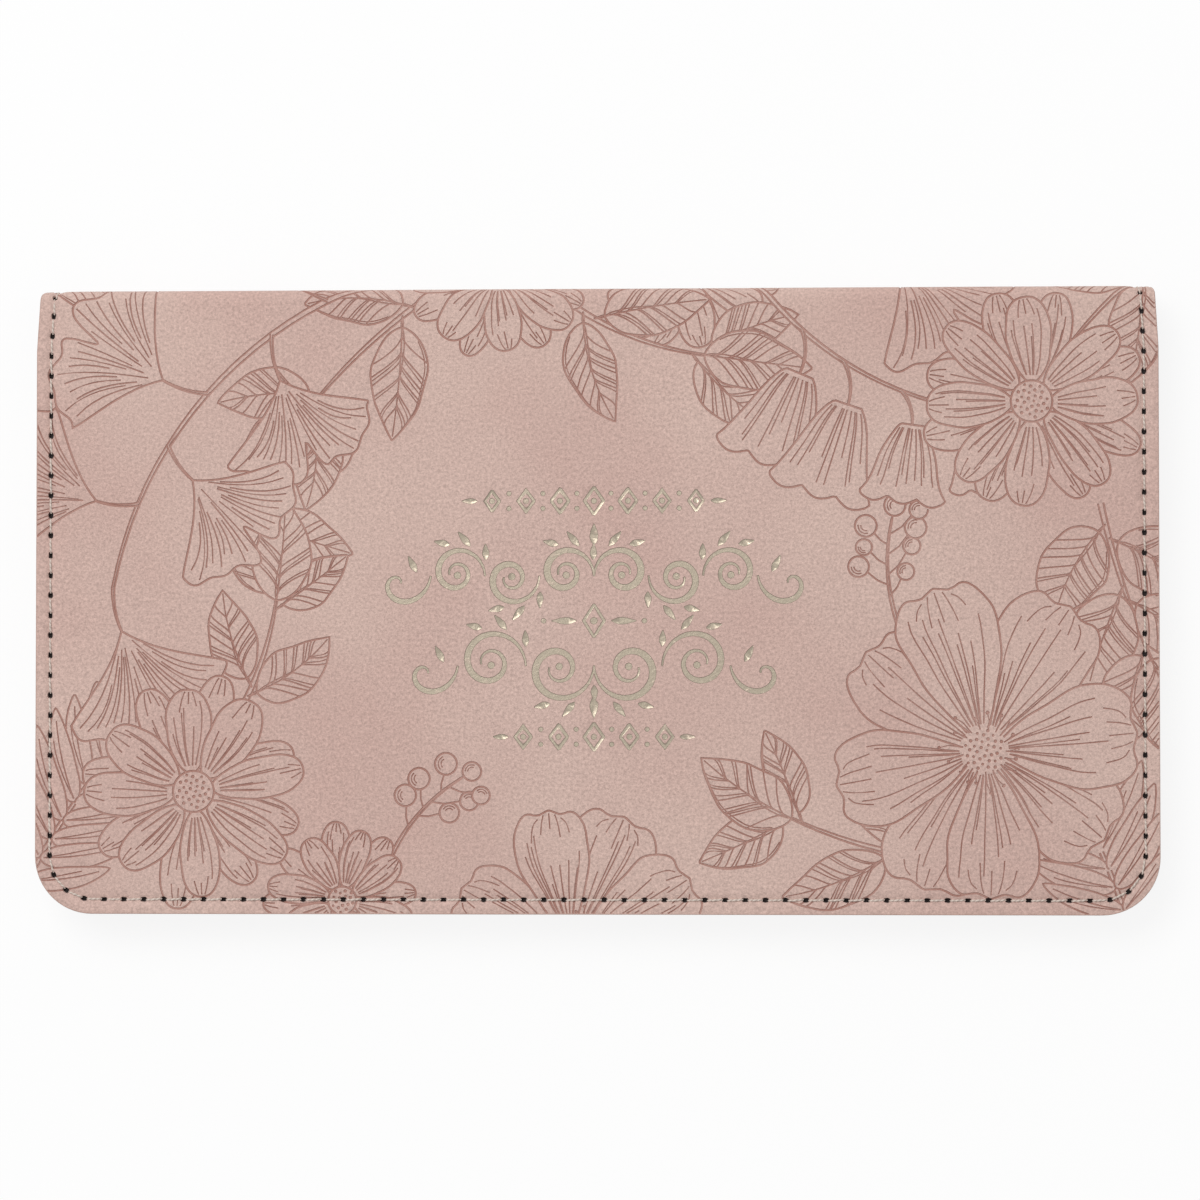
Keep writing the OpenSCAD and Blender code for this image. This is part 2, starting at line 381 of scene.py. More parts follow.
def fan(sk, x, y, angle, radius, rng, spread):
    """A fan-shaped leaf: a wavy rim with one notch, and ribs that spread from its stalk."""
    theta = np.linspace(-spread, spread, 70)
    sway = rng.uniform(0, 6)

    def rim(a):
        wave = 0.035 * np.sin(9 * a + sway) + 0.025 * np.sin(19 * a + 2 * sway)
        return radius * (0.9 + 0.1 * np.cos(a) + wave - 0.34 * np.exp(-((a / 0.07) ** 2)))

    def polar(a, r):
        return np.stack([x + r * np.cos(angle + a), y + r * np.sin(angle + a)], -1)

    side = np.linspace(0, 1, 12)
    left = polar(-spread + 0.28 * (1 - side) ** 1.6, rim(-spread) * side)
    right = polar(spread - 0.28 * (1 - side) ** 1.6, rim(spread) * side)
    outline = np.concatenate([left[:-1], polar(theta, rim(theta)), right[::-1][1:]])
    sk.line(outline, EDGE)
    ribs = 21
    share = np.linspace(0, 1, 8)
    for k in range(ribs):
        a = spread * 0.95 * (2 * (k + 0.5) / ribs - 1)
        if abs(a) < 0.06:
            continue
        far = rim(a) * rng.uniform(0.8, 0.985)
        near = radius * rng.uniform(0.12, 0.5)
        sk.line(polar(a * (0.8 + 0.2 * share**2), near + (far - near) * share), HAIR if k % 2 else VEIN)
    sk.cover(outline)


def fan_twig(sk, x, y, angle, length, bend, count, size, rng):
    """A twig with fan leaves on long stalks, left and right by turns."""
    line = bow(x, y, angle, length, bend)
    last = len(line) - 1
    for k in range(count):
        i = int(last * (1 - 0.86 * k / count))
        side = (-1) ** k
        a = heading(line, i) + (0.15 if k == 0 else side * rng.uniform(0.75, 1.0))
        stalk = bow(*line[i], a, size * rng.uniform(0.35, 0.5), side * 0.5, 8)
        fan(sk, *stalk[-1], heading(stalk, 7), size * rng.uniform(0.88, 1.05), rng, rng.uniform(0.85, 1.0))
        stem(sk, stalk, 0.4)
    stem(sk, line, 1.0)


def berries(sk, x, y, angle, length, bend, count, rng):
    """A thin twig with round berries on short stalks."""
    line = bow(x, y, angle, length, bend)
    last = len(line) - 1
    for k in range(count):
        side = 0 if k == 0 else (-1) ** k
        i = last if k == 0 else int(last * (1 - 0.72 * k / count))
        a = heading(line, i) + side * rng.uniform(0.7, 1.0)
        reach = 0.6 if k == 0 else rng.uniform(2.6, 4.4)
        r = rng.uniform(1.2, 1.7)
        c = spot(*line[i], a, reach + r)
        sk.line(circle(*c, r, 20), EDGE)
        for deep in (0.7, 0.45):
            arc = np.linspace(0.6, 2.5, 8) + a
            sk.line(c + deep * r * np.column_stack([np.cos(arc), np.sin(arc)]), HAIR)
        sk.cover(circle(*c, r, 20))
        middle = spot(*line[i], a + side * 0.15, reach * 0.5)
        sk.line(np.array([line[i], middle, spot(*line[i], a, reach)]), RIB)
    stem(sk, line, 0.5)


def bell(sk, x, y, angle, size, rng):
    """A hanging bell flower seen from the side."""
    t = np.linspace(0, 1, 18)
    half = size * (0.16 + 0.3 * np.sin(t * 1.7) ** 0.8 + 0.14 * t**6) * (1 + 0.02 * np.sin(9 * t + size))
    along = size * t

    def at(a, u):
        return np.stack(spot(x, y, angle, a, u), -1)

    u = np.linspace(1, -1, 31)
    rim = at(size * (1.02 + 0.09 * np.abs(np.sin(1.5 * PI * (u + 1)))), u * half[-1])
    outline = np.concatenate([at(along, half), rim[1:-1], at(along, -half)[::-1]])
    sk.line(np.concatenate([outline, outline[:1]]), EDGE)
    for w in (-0.8, -0.62, -0.54, -0.2, -0.1, 0.06, 0.3, 0.5, 0.58, 0.82):
        stop = rng.randint(11, 17)
        sk.line(at(along[1:stop], w * half[1:stop]), VEIN, HAIR)
    sk.cover(outline)


def bell_stem(sk, x, y, angle, length, bend, count, size, rng):
    """A bowed stalk with bell flowers hanging from it, smaller towards its tip."""
    line = bow(x, y, angle, length, bend)
    last = len(line) - 1
    fall = -1.35
    for k in range(count):
        i = int(last * (1 - 0.8 * k / count))
        grow = size * (0.62 + 0.38 * min(1, k / 2))
        stalk = bow(*line[i], heading(line, i) - 0.5, grow * 0.5, fall * 0.6, 8)
        bell(sk, *stalk[-1], heading(stalk, 7) + rng.uniform(-0.15, 0.15), grow, rng)
        stem(sk, stalk, 0.4)
    stem(sk, line, 0.8)


def garland(sk, rng, turned):
    """The motifs of one half from front to back, as on the front or turned round for the back."""
    def grow(form, x, v, degrees, *sizes, **shape):
        a = math.radians(degrees)
        place = (-x, SHEET - v, a + PI) if turned else (x, v, a)
        form(sk, *place, *sizes, rng, **shape)

    # Form, place, heading in degrees, and then the sizes that the function of the form names
    grow(cosmos, 57, 24, 12, 23)
    grow(daisy, -59, 18, 8, 16, 8)
    grow(daisy, -37, 2, 30, 11, 8)
    grow(cosmos, -3, -4, 20, 19)
    grow(daisy, 64, 75, 0, 16, 8)
    grow(daisy, -14, 95, 4, 13, 8)
    grow(fan_twig, -21, 96, -172, 74, 1.25, 6, 16)
    grow(bell_stem, 20, 99, -62, 44, 0.9, 4, 13)
    grow(sprig, -24, 91, 214, 24, 0.3, 2, 17, 0.52)
    grow(sprig, -4, 90, -36, 22, 0.5, 2, 16, 0.52)
    grow(sprig, 74, 60, -78, 24, 0.2, 3, 15, 0.7, tip=0.6, base=0.55)
    grow(sprig, 48, 8.4, 172, 20, -0.3, 2, 16, 0.52)
    grow(sprig, 84, 97, 215, 20, 0.3, 2, 16, 0.52)
    grow(fern, -85, 2, 64, 38, -0.35, 11, 13)
    grow(fern, 78, -2, 106, 34, 0.4, 11, 13)
    grow(sprig, -52, 30, 62, 17, 0.35, 2, 15, 0.52)
    grow(sprig, -52, 57, 30, 12, 0.3, 1, 14, 0.52)
    grow(berries, 45, 41, 112, 17, -0.6, 8)
    grow(berries, -30, 8, 66, 16, -0.6, 7)


def pressed_ornament():
    """Every line of the ornament on the whole outer sheet."""
    sk = Sketch()
    garland(sk, random.Random(7), False)
    garland(sk, random.Random(11), True)
    return sk.lines


# Foil ornament in the middle of the front

def foil_ornament():
    """Two rows of small lozenges with two rows of mirrored scrolls between them."""
    strokes = []

    def both(points, widths):
        """A stroke on the right and its mirror image on the left."""
        points = np.asarray(points, float)
        widths = np.broadcast_to(widths, len(points))
        strokes.append((points, widths))
        if np.abs(points[:, 0]).max() > 0.3:
            strokes.append((points * (-1, 1), widths))

    def dot(x, v, width):
        both([(x, v)], width)

    def lozenge(x, v, wide, tall, width):
        ring = [(x - wide, v), (x, v + tall), (x + wide, v), (x, v - tall), (x - wide, v)]
        both(resample(ring, 0.3), width)

    def drop(x, v, degrees, size, wide):
        a = math.radians(degrees)
        t = np.linspace(0, 1, 10)
        line = np.column_stack([x + size * t * math.cos(a), v + size * t * math.sin(a)])
        both(line, 0.16 + wide * np.sin(PI * t**0.8) ** 1.2)

    def curl(x, v, degrees, radius, turns, tighten, side, thick, thin=0.28, step=0.09):
        """A spiral stroke that starts at a point and heading, and tightens as it goes."""
        a, place, out = math.radians(degrees), np.array([x, v], float), []
        turned = 0.0
        while turned < turns * 2 * PI:
            out.append(place.copy())
            r = radius * math.exp(-turned / tighten)
            a += side * step
            turned += step
            place += step * r * np.array([math.cos(a), math.sin(a)])
        points = resample(out, 0.3)
        t = np.linspace(0, 1, len(points))
        both(points, thin + (thick - thin) * np.sin(PI * t) ** 1.2)

    def vine(v, span, count, flip, thick=1.05):
        """Scrolls that turn up and down by turns with drops round each, and a last one that ends the row."""
        pitch = span / count
        for k in range(count):
            up = flip * (-1) ** k
            x0 = k * pitch
            r = pitch / 2
            curl(x0, v, up * 90, r * 1.06, 1.55, 7.0, -up, thick * (1 - 0.08 * k))
            for degrees, size in ((150, 2.3), (112, 2.7), (75, 2.3)):
                a = math.radians(degrees) * up
                cx, cv = x0 + r + (r + 0.75) * math.cos(a), v + (r + 0.75) * math.sin(a)
                drop(cx, cv, math.degrees(a) - up * 62, size, 0.85)
            dot(x0 + r * 1.02, v + up * 0.1, 1.1)
        up = flip * (-1) ** count
        curl(span, v, up * 84, 5.2, 1.05, 2.7, -up, thick * 0.8)
        drop(span + 2.1, v - up * 0.6, -up * 62, 2.6, 0.85)

    vine(49.6, 24.0, 3, 1)
    vine(36.4, 20.0, 2, -1)
    lozenge(0, 43.0, 1.5, 2.4, 0.46)
    dot(0, 43.0, 1.1)
    drop(2.6, 43.0, 0, 3.6, 0.9)
    dot(7.4, 43.0, 0.8)
    drop(0, 54.2, 90, 3.0, 1.1)
    drop(0, 31.8, -90, 3.0, 1.1)
    for v, count, gap in ((60.6, 4, 5.0), (26.0, 3, 5.2)):
        for k in range(count):
            x = k * gap
            size = 2.0 - 0.15 * k
            lozenge(x, v, size * 0.7, size, 0.48)
            dot(x, v, 0.9)
            if k < count - 1:
                dot(x + gap / 2, v + 1.1, 0.75)
                dot(x + gap / 2, v - 1.1, 0.75)
        drop((count - 1) * gap + 2.2, v, 0, 2.2, 0.7)
    return strokes


# Flat sheets and how they are laid

class Ring:
    """The outline of a flat sheet, with the way inwards at each of its points."""

    def __init__(self, points, inward):
        self.points = np.asarray(points, float)
        self.inward = np.asarray(inward, float)

    def at(self, inset):
        return self.points + inset * self.inward

    def place(self, points, inset):
        """For points on the outline at an inset: the point of the true edge, and the way inwards there."""
        a = self.at(inset)
        ab = np.roll(a, -1, 0) - a
        ap = points[:, None] - a[None]
        share = np.clip((ap * ab).sum(-1) / np.maximum((ab**2).sum(1), 1e-12), 0, 1)
        k = ((ap - share[..., None] * ab) ** 2).sum(-1).argmin(1)
        t = share[np.arange(len(points)), k][:, None]
        nxt = (k + 1) % len(a)
        base = self.points[k] * (1 - t) + self.points[nxt] * t
        return base, self.inward[k] * (1 - t) + self.inward[nxt] * t


def edge_y(s):
    """How far up the cover a point of the outer face is, given its place on the flat sheet."""
    turn = np.clip((s - FLAT) / CREASE_R, 0, PI / 2)
    return FREE_Y + np.minimum(s, FLAT) + CREASE_R * np.sin(turn)


def lean(s):
    """How far the side leans in towards the fold."""
    return FOLD_LEAN * np.clip((edge_y(s) + FOLD_LEAN_H - COVER_H / 2) / (FOLD_LEAN_H - FOLD_CORNER_R), 0, 1)


def fold_round(s):
    """How far the small corner at the end of the fold rounds the side in."""
    past = np.clip(edge_y(s) - COVER_H / 2 + FOLD_CORNER_R, 0, FOLD_CORNER_R)
    return FOLD_CORNER_R - np.sqrt(FOLD_CORNER_R**2 - past**2)


def half_ring(top, flat=FLAT, half=HALF_W, low=0.0, corner=CORNER_R, taper=1.0, mouth=False):
    """The outline of a sheet of one half, from its free edge up to a height.

    The end at the top has no rim, except where it is an open mouth.
    """
    step, top_step = 1.2, 2.4
    points, inward = [], []
    span = half - corner
    for x in np.linspace(-span, span, int(2 * span / step))[1:-1]:
        points.append((x, low))
        inward.append((0, 1))
    for a in np.linspace(-PI / 2, 0, 16):
        points.append((span + corner * math.cos(a), low + corner + corner * math.sin(a)))
        inward.append((-math.cos(a), -math.sin(a)))
    straight = min(top, flat)
    rise = np.linspace(low + corner, straight, int((straight - low - corner) / step))[1:]
    if top > flat:
        rise = np.concatenate([rise, np.linspace(flat, top, 17)[1:]])
    side = half - taper * (lean(rise) + fold_round(rise))
    points += list(zip(side, rise))
    inward += [(-1, 0)] * len(rise)
    if mouth:
        inward[-1] = (-1, -1)
    for x in np.linspace(side[-1], -side[-1], int(2 * side[-1] / top_step))[1:-1]:
        points.append((x, top))
        inward.append((0, -1 if mouth else 0))
    points += list(zip(-side[::-1], rise[::-1]))
    inward += [(1, -1) if mouth else (1, 0)] + [(1, 0)] * (len(rise) - 1)
    for a in np.linspace(PI, 1.5 * PI, 16):
        points.append((-span + corner * math.cos(a), low + corner + corner * math.sin(a)))
        inward.append((-math.cos(a), -math.sin(a)))
    return Ring(points, inward)


def seam_line(top, inset=SEAM_INSET, step=0.5):
    """The seam on a flat half: down the left side, round both free corners and up the right side."""
    r = CORNER_R - inset
    x0 = HALF_W - inset
    down = np.linspace(top, CORNER_R, int((top - CORNER_R) / step))
    side = x0 - lean(down) - 0.6 * fold_round(down)
    turn = np.linspace(0, PI / 2, 24)[1:]
    low = np.linspace(r - x0, x0 - r, int(2 * (x0 - r) / step))[1:]
    parts = [
        np.column_stack([-side, down]),
        np.column_stack([r - x0 - r * np.cos(turn), CORNER_R - r * np.sin(turn)]),
        np.column_stack([low, np.full(len(low), inset)]),
        np.column_stack([x0 - r + r * np.sin(turn), CORNER_R - r * np.cos(turn)]),
        np.column_stack([side[::-1], down[::-1]])[1:],
    ]
    return np.concatenate(parts)


def run_of(points):
    """Length along a line at each of its points."""
    return np.concatenate([[0], np.cumsum(np.sqrt((np.diff(points, axis=0) ** 2).sum(1)))])


def along_line(points, at):
    """Points at lengths along a line."""
    run = run_of(points)
    return np.column_stack([np.interp(at, run, points[:, k]) for k in range(points.shape[1])])


def thin_out(points, widths, slack=0.024, longest=3.2):
    """Drops the points of a stroke that a straight, evenly swelling line between others stands for."""
    keep = np.zeros(len(points), bool)
    keep[[0, -1]] = True
    todo = [(0, len(points) - 1)]
    while todo:
        a, b = todo.pop()
        if b - a < 2:
            continue
        way = points[b] - points[a]
        off = points[a + 1:b] - points[a]
        long = math.hypot(*way)
        if long < 1e-6:
            far = np.hypot(*off.T)
        else:
            far = np.abs(off[:, 0] * way[1] - off[:, 1] * way[0]) / long
            share = np.clip(off @ way / long**2, 0, 1)
            even = widths[a] + share * (widths[b] - widths[a])
            far = np.maximum(far, 0.4 * np.abs(widths[a + 1:b] - even))
        k = int(far.argmax())
        if far[k] > slack or long < 1e-6 or long > longest:
            keep[a + 1 + k] = True
            todo += [(a, a + 1 + k), (a + 1 + k, b)]
    return points[keep], widths[keep]


def stroke_outline(points, widths, grow, reach):
    """The closed outline of a stroke, grown to each side and past both ends."""
    if len(points) == 1:
        return circle(*points[0], widths[0] / 2 + grow, 9)[:-1]
    leg = np.diff(points, axis=0)
    leg = leg / np.maximum(np.hypot(*leg.T), 1e-9)[:, None]
    along = np.vstack([leg[:1], leg[:-1] + leg[1:], leg[-1:]])
    along = along / np.maximum(np.hypot(*along.T), 1e-9)[:, None]
    normal = np.column_stack([-along[:, 1], along[:, 0]])
    half = (widths / 2 + grow)[:, None]
    line = points.copy()
    line[0] -= along[0] * reach
    line[-1] += along[-1] * reach
    return np.concatenate([line + normal * half, (line - normal * half)[::-1]])


def twice_area(spots, faces):
    """Twice the area of each triangle, above 0 where its corners go round anticlockwise."""
    a, b, c = (spots[faces[:, k]] for k in range(3))
    return (b - a)[:, 0] * (c - a)[:, 1] - (b - a)[:, 1] * (c - a)[:, 0]


class Draft:
    """The points and lines that the triangles of a flat sheet have to keep to."""

    def __init__(self):
        self.points, self.edges, self.count = [], [], 0

    def line(self, points, closed=False):
        n = len(points)
        self.points.append(np.asarray(points, float))
        a = np.arange(n if closed else n - 1)
        self.edges.append(np.column_stack([a, (a + 1) % n]) + self.count)
        self.count += n

    def rings(self, rings):
        for ring in rings:
            self.line(ring, closed=True)

    def across(self, rows, half, count):
        """Lines from side to side, one for each row."""
        for s in rows:
            self.line(np.column_stack([np.linspace(-half, half, count), np.full(count, s)]))

    def net(self, places, rows, shift=0.0):
        """Loose points in rows; shift moves every second row along."""
        points = np.array([(x + shift * (row % 2), s) for row, s in enumerate(rows) for x in places])
        self.points.append(points)
        self.count += len(points)

    def triangles(self, ring):
        """Triangles inside the outline, and their corner points."""
        points = [Vector(p) for p in np.concatenate(self.points)]
        edges = np.concatenate(self.edges).tolist()
        out = geometry.delaunay_2d_cdt(points, edges, [], 0, 0.002, False)
        points = np.array([tuple(p) for p in out[0]])
        tri = np.array(out[2])
        tri = tri[inside(points[tri].mean(1), ring)]
        used, tri = np.unique(tri, return_inverse=True)
        tri = tri.reshape(-1, 3)
        points = points[used]
        back = twice_area(points, tri) < 0
        tri[back] = tri[back][:, ::-1]
        return points, tri


def rim_loop(tri):
    """The corners round the outside of a patch of triangles, in order."""
    ways = np.concatenate([tri[:, [0, 1]], tri[:, [1, 2]], tri[:, [2, 0]]])
    size = tri.max() + 1
    keys = ways[:, 0] * size + ways[:, 1]
    twins = ways[:, 1] * size + ways[:, 0]
    outer = ways[~np.isin(keys, twins)]
    after = dict(outer.tolist())
    start = outer[0, 0]
    loop = [start]
    while after[loop[-1]] != start:
        loop.append(after[loop[-1]])
        if len(loop) > len(outer):
            raise RuntimeError("the outline of a sheet doesn't close")
    if len(loop) != len(outer):
        raise RuntimeError("a sheet has more than one outline")
    return np.array(loop)


def fill(points, count):
    """Triangles inside the closed outline that the first points make, with the other points as corners.

    Gives the corners, the triangles, and which corner each point of the outline is.
    """
    edges = [(i, (i + 1) % count) for i in range(count)]
    out = geometry.delaunay_2d_cdt([Vector(p) for p in points], edges, [], 0, 1e-7, True)
    spots = np.array([tuple(p) for p in out[0]])
    faces = np.array(out[2])
    corner = np.zeros(len(points), int)
    for i, sources in enumerate(out[3]):
        for source in sources:
            corner[source] = i
    corner = corner[:count]
    walls = {frozenset(pair) for pair in zip(corner.tolist(), np.roll(corner, -1).tolist())}
    beside = {}
    for f, face in enumerate(faces.tolist()):
        for k in range(3):
            beside.setdefault(frozenset((face[k], face[k - 1])), []).append(f)
    area = np.abs(twice_area(spots, faces))
    area[~inside(spots[faces].mean(1), points[:count])] = 0
    kept = {int(area.argmax())}
    todo = list(kept)
    while todo:
        face = faces[todo.pop()].tolist()
        for k in range(3):
            edge = frozenset((face[k], face[k - 1]))
            if edge not in walls:
                fresh = set(beside[edge]) - kept
                kept |= fresh
                todo += fresh
    return spots, faces[sorted(kept)], corner


def inner_net(last, outline, rows):
    """Points for an inner face: a row at each of its bends, and a wide net elsewhere."""
    grid = 6.0
    low, high = last.min(0), last.max(0)
    bends = np.array([(x, s) for s in rows for x in np.arange(low[0] + 1.5, high[0] - 1, 2.4)])
    net = np.array([(x, s) for s in np.arange(low[1] + grid / 2, high[1], grid)
                    for x in np.arange(low[0] + grid / 2, high[0], grid)])
    net = net[inside(net, outline)]
    if len(rows):
        net = net[(net[:, 1] < min(rows) - 1) | (net[:, 1] > max(rows) + 1)]
    return np.concatenate([bends.reshape(-1, 2), net])


# Steps of a rounded cut edge: how far in from the outline, and how far down from the face
RIM = ((0.07, 0.07), (0.0, 0.24))
THIN_RIM = ((0.03, 0.02), (0.0, 0.08))


def sheet_piece(name, ring, draft, thick, relief, lay, rows=(), start_inset=0.25, rim=RIM, extra=None):
    """A closed piece from a flat sheet: the drawn face, a rounded cut edge and a plain inner face.

    relief(points) gives the depth of the drawn face and a dict of its values at each point.
    lay(x, s, depth) puts points of the sheet in place, and rows are the bends that the inner face needs.
    extra is a second closed form that belongs to the same piece.
    """
    draft.line(ring.at(start_inset), closed=True)
    face, tri = draft.triangles(ring.at(start_inset))
    loop = rim_loop(tri)
    base, inward = ring.place(face[loop], start_inset)
    depth, marks = relief(face)
    flat = [face]
    deep = [depth]
    loops = [loop]
    tris = [tri]
    count = len(face)
    steps = [(inset, fall, 0.5) for inset, fall in rim]
    steps += [(inset, thick - fall, 0.0) for inset, fall in reversed(rim)]
    steps += [(start_inset, thick, 0.0)]
    for inset, fall, keep in steps:
        flat.append(base + inset * inward)
        deep.append(np.full(len(loop), fall) + keep * depth[loop] * (1 if fall < thick / 2 else 0))
        loops.append(np.arange(count, count + len(loop)))
        count += len(loop)
    for above, below in zip(loops[:-1], loops[1:]):
        nxt_above, nxt_below = np.roll(above, -1), np.roll(below, -1)
        tris.append(np.column_stack([above, below, nxt_below]))
        tris.append(np.column_stack([above, nxt_below, nxt_above]))
    # The inner face is a plain net that shares the last loop
    last = flat[-1]
    net = inner_net(last, ring.at(start_inset + 1.2), rows)
    spots, faces, corner = fill(np.concatenate([last, net]), len(last))
    index = np.full(len(spots), -1)
    index[corner] = loops[-1]
    fresh = np.flatnonzero((index < 0) & np.isin(np.arange(len(spots)), faces))
    index[fresh] = count + np.arange(len(fresh))
    flat.append(spots[fresh])
    deep.append(np.full(len(fresh), thick))
    ahead = twice_area(spots, faces) > 0
    faces[ahead] = faces[ahead][:, ::-1]
    tris.append(index[faces])
    flat = np.concatenate(flat)
    deep = np.concatenate(deep)
    tris = np.concatenate(tris)
    place = lay(flat[:, 0], flat[:, 1], deep)
    tris = outward(place, tris)
    if extra is not None:
        tris = np.concatenate([tris, outward(*extra) + len(place)])
        place = np.concatenate([place, extra[0]])
    piece = mesh_piece(name, place, tris)
    for key, values in marks.items():
        full = np.zeros(len(place))
        full[:len(values)] = values
        paint(piece, key, full)
    # A mask of the cut edge, where the materials paint shade
    wall = np.zeros(len(place))
    wall[len(face):len(flat)] = 1
    paint(piece, "cut_edge_shade", wall)
    unwrap(piece, flat, loops, len(face))
    return piece, flat, deep


# Areas of the map for the drawn face, the inner face, the cut edge and the turned-under edge
FACE_AREA = (0.01, 0.37, 0.98, 0.62)
INNER_AREA = (0.01, 0.08, 0.6, 0.27)
WALL_AREA = (0.01, 0.01, 0.98, 0.05)
TURNED_AREA = (0.63, 0.08, 0.34, 0.12)


def in_area(unit, area):
    """Places in the unit square, moved to an area of the map given by its corner and size."""
    return unit * area[2:] + area[:2]


def unwrap(piece, flat, loops, face_count):
    """A map of the sheet: the drawn face above, the inner face below it, and the cut edge as a strip."""
    corner = np.empty(len(piece.data.loops), np.int32)
    piece.data.loops.foreach_get("vertex_index", corner)
    corner = corner.reshape(-1, 3)
    total = int(corner.max()) + 1
    low, high = flat.min(0), flat.max(0)
    unit = np.zeros((total, 2))
    unit[:len(flat)] = (flat - low) / (high - low)
    on_face = (corner < face_count).all(1)
    on_inner = ((corner >= loops[-1][0]) & (corner < len(flat))).all(1)
    turned = (corner >= len(flat)).any(1)
    on_wall = ~(on_face | on_inner | turned)
    uv = np.empty((len(corner), 3, 2))
    uv[:] = in_area(unit[corner], FACE_AREA)
    uv[on_inner] = in_area(unit[corner[on_inner]], INNER_AREA)
    n = len(loops[0])
    order = np.full((len(loops), total), -1)
    layer = np.zeros(total, int)
    for i, loop in enumerate(loops):
        order[i, loop] = np.arange(n)
        layer[loop] = i
    walls = corner[on_wall]
    turn = order[layer[walls], walls]
    late = (turn == n - 1).any(1)[:, None] & (turn == 0)
    along = np.where(late, n, turn) / n
    uv[on_wall] = in_area(np.stack([along, layer[walls] / len(loops)], -1), WALL_AREA)
    if turned.any():
        place = np.empty(3 * len(piece.data.vertices), np.float32)
        piece.data.vertices.foreach_get("co", place)
        place = place.reshape(-1, 3)[corner[turned]] / MM
        unit = np.stack([(place[:, :, 0] + HALF_W) / COVER_W, (place[:, :, 1] - FREE_Y) / COVER_H], -1)
        upper = place[:, :, 2] > place[:, :, 2].min() + 0.3
        uv[turned] = in_area(unit, TURNED_AREA) + np.stack([0 * upper, 0.14 * upper], -1)
    layer_uv = piece.data.uv_layers.new(name="OFBake")
    layer_uv.data.foreach_set("uv", uv.astype(np.float32).ravel())


def outward(place, tris):
    """Triangles turned so that the faces of a closed form point outwards."""
    tris = tris[(tris[:, 0] != tris[:, 1]) & (tris[:, 1] != tris[:, 2]) & (tris[:, 2] != tris[:, 0])]
    a, b, c = (place[tris[:, k]] for k in range(3))
    return tris[:, ::-1] if (a * np.cross(b, c)).sum() < 0 else tris


def slab(outline, low, high):
    """A closed slab with an outline in x and s, between two heights."""
    spots, faces, a = fill(outline, len(outline))
    m = len(spots)
    below, above = (np.column_stack([spots[:, 0], FREE_Y + spots[:, 1], np.full(m, z)]) for z in (low, high))
    place = np.concatenate([below, above])
    b = np.roll(a, -1)
    walls = [np.column_stack([a, b, b + m]), np.column_stack([a, b + m, a + m])]
    ways = [np.column_stack([faces[:, k], faces[:, (k + 1) % 3]]) for k in range(3)]
    follows = any(((w[:, 0] == a[0]) & (w[:, 1] == b[0])).any() for w in ways)
    below, above = (faces[:, ::-1], faces) if follows else (faces, faces[:, ::-1])
    return place, np.concatenate([below, above + m, *walls])


def mesh_piece(name, place, tris):
    """An object from points in millimetres and triangles."""
    place = np.asarray(place, float) * MM
    mesh = bpy.data.meshes.new(name)
    mesh.vertices.add(len(place))
    mesh.vertices.foreach_set("co", place.ravel())
    mesh.loops.add(tris.size)
    mesh.loops.foreach_set("vertex_index", tris.ravel())
    mesh.polygons.add(len(tris))
    mesh.polygons.foreach_set("loop_start", np.arange(0, tris.size, 3))
    mesh.polygons.foreach_set("use_smooth", np.ones(len(tris), bool))
    mesh.update(calc_edges=True)
    mesh.validate()
    piece = bpy.data.objects.new(name, mesh)
    bpy.context.scene.collection.objects.link(piece)
    return piece


def paint(piece, key, values):
    """Keeps a number for each point of a piece, for its material to read."""
    values = np.asarray(values, np.float32)
    if values.ndim == 1:
        piece.data.attributes.new(key, "FLOAT", "POINT").data.foreach_set("value", values)
    else:
        piece.data.attributes.new(key, "FLOAT_VECTOR", "POINT").data.foreach_set("vector", values.ravel())


def finish_piece(piece, material):
    """Gives a piece its material and slot, and keeps the edges of steep steps crisp."""
    steep = math.radians(28)
    piece.data.materials.append(material)
    piece.data.set_sharp_from_angle(angle=steep)
    return piece


# Nodes

def linear(r, g, b):
    """A colour given in the usual 0 to 255 steps, as the light it stands for."""
    return tuple(c / 3294.6 if c <= 10.3 else ((c / 255 + 0.055) / 1.055) ** 2.4 for c in (r, g, b))


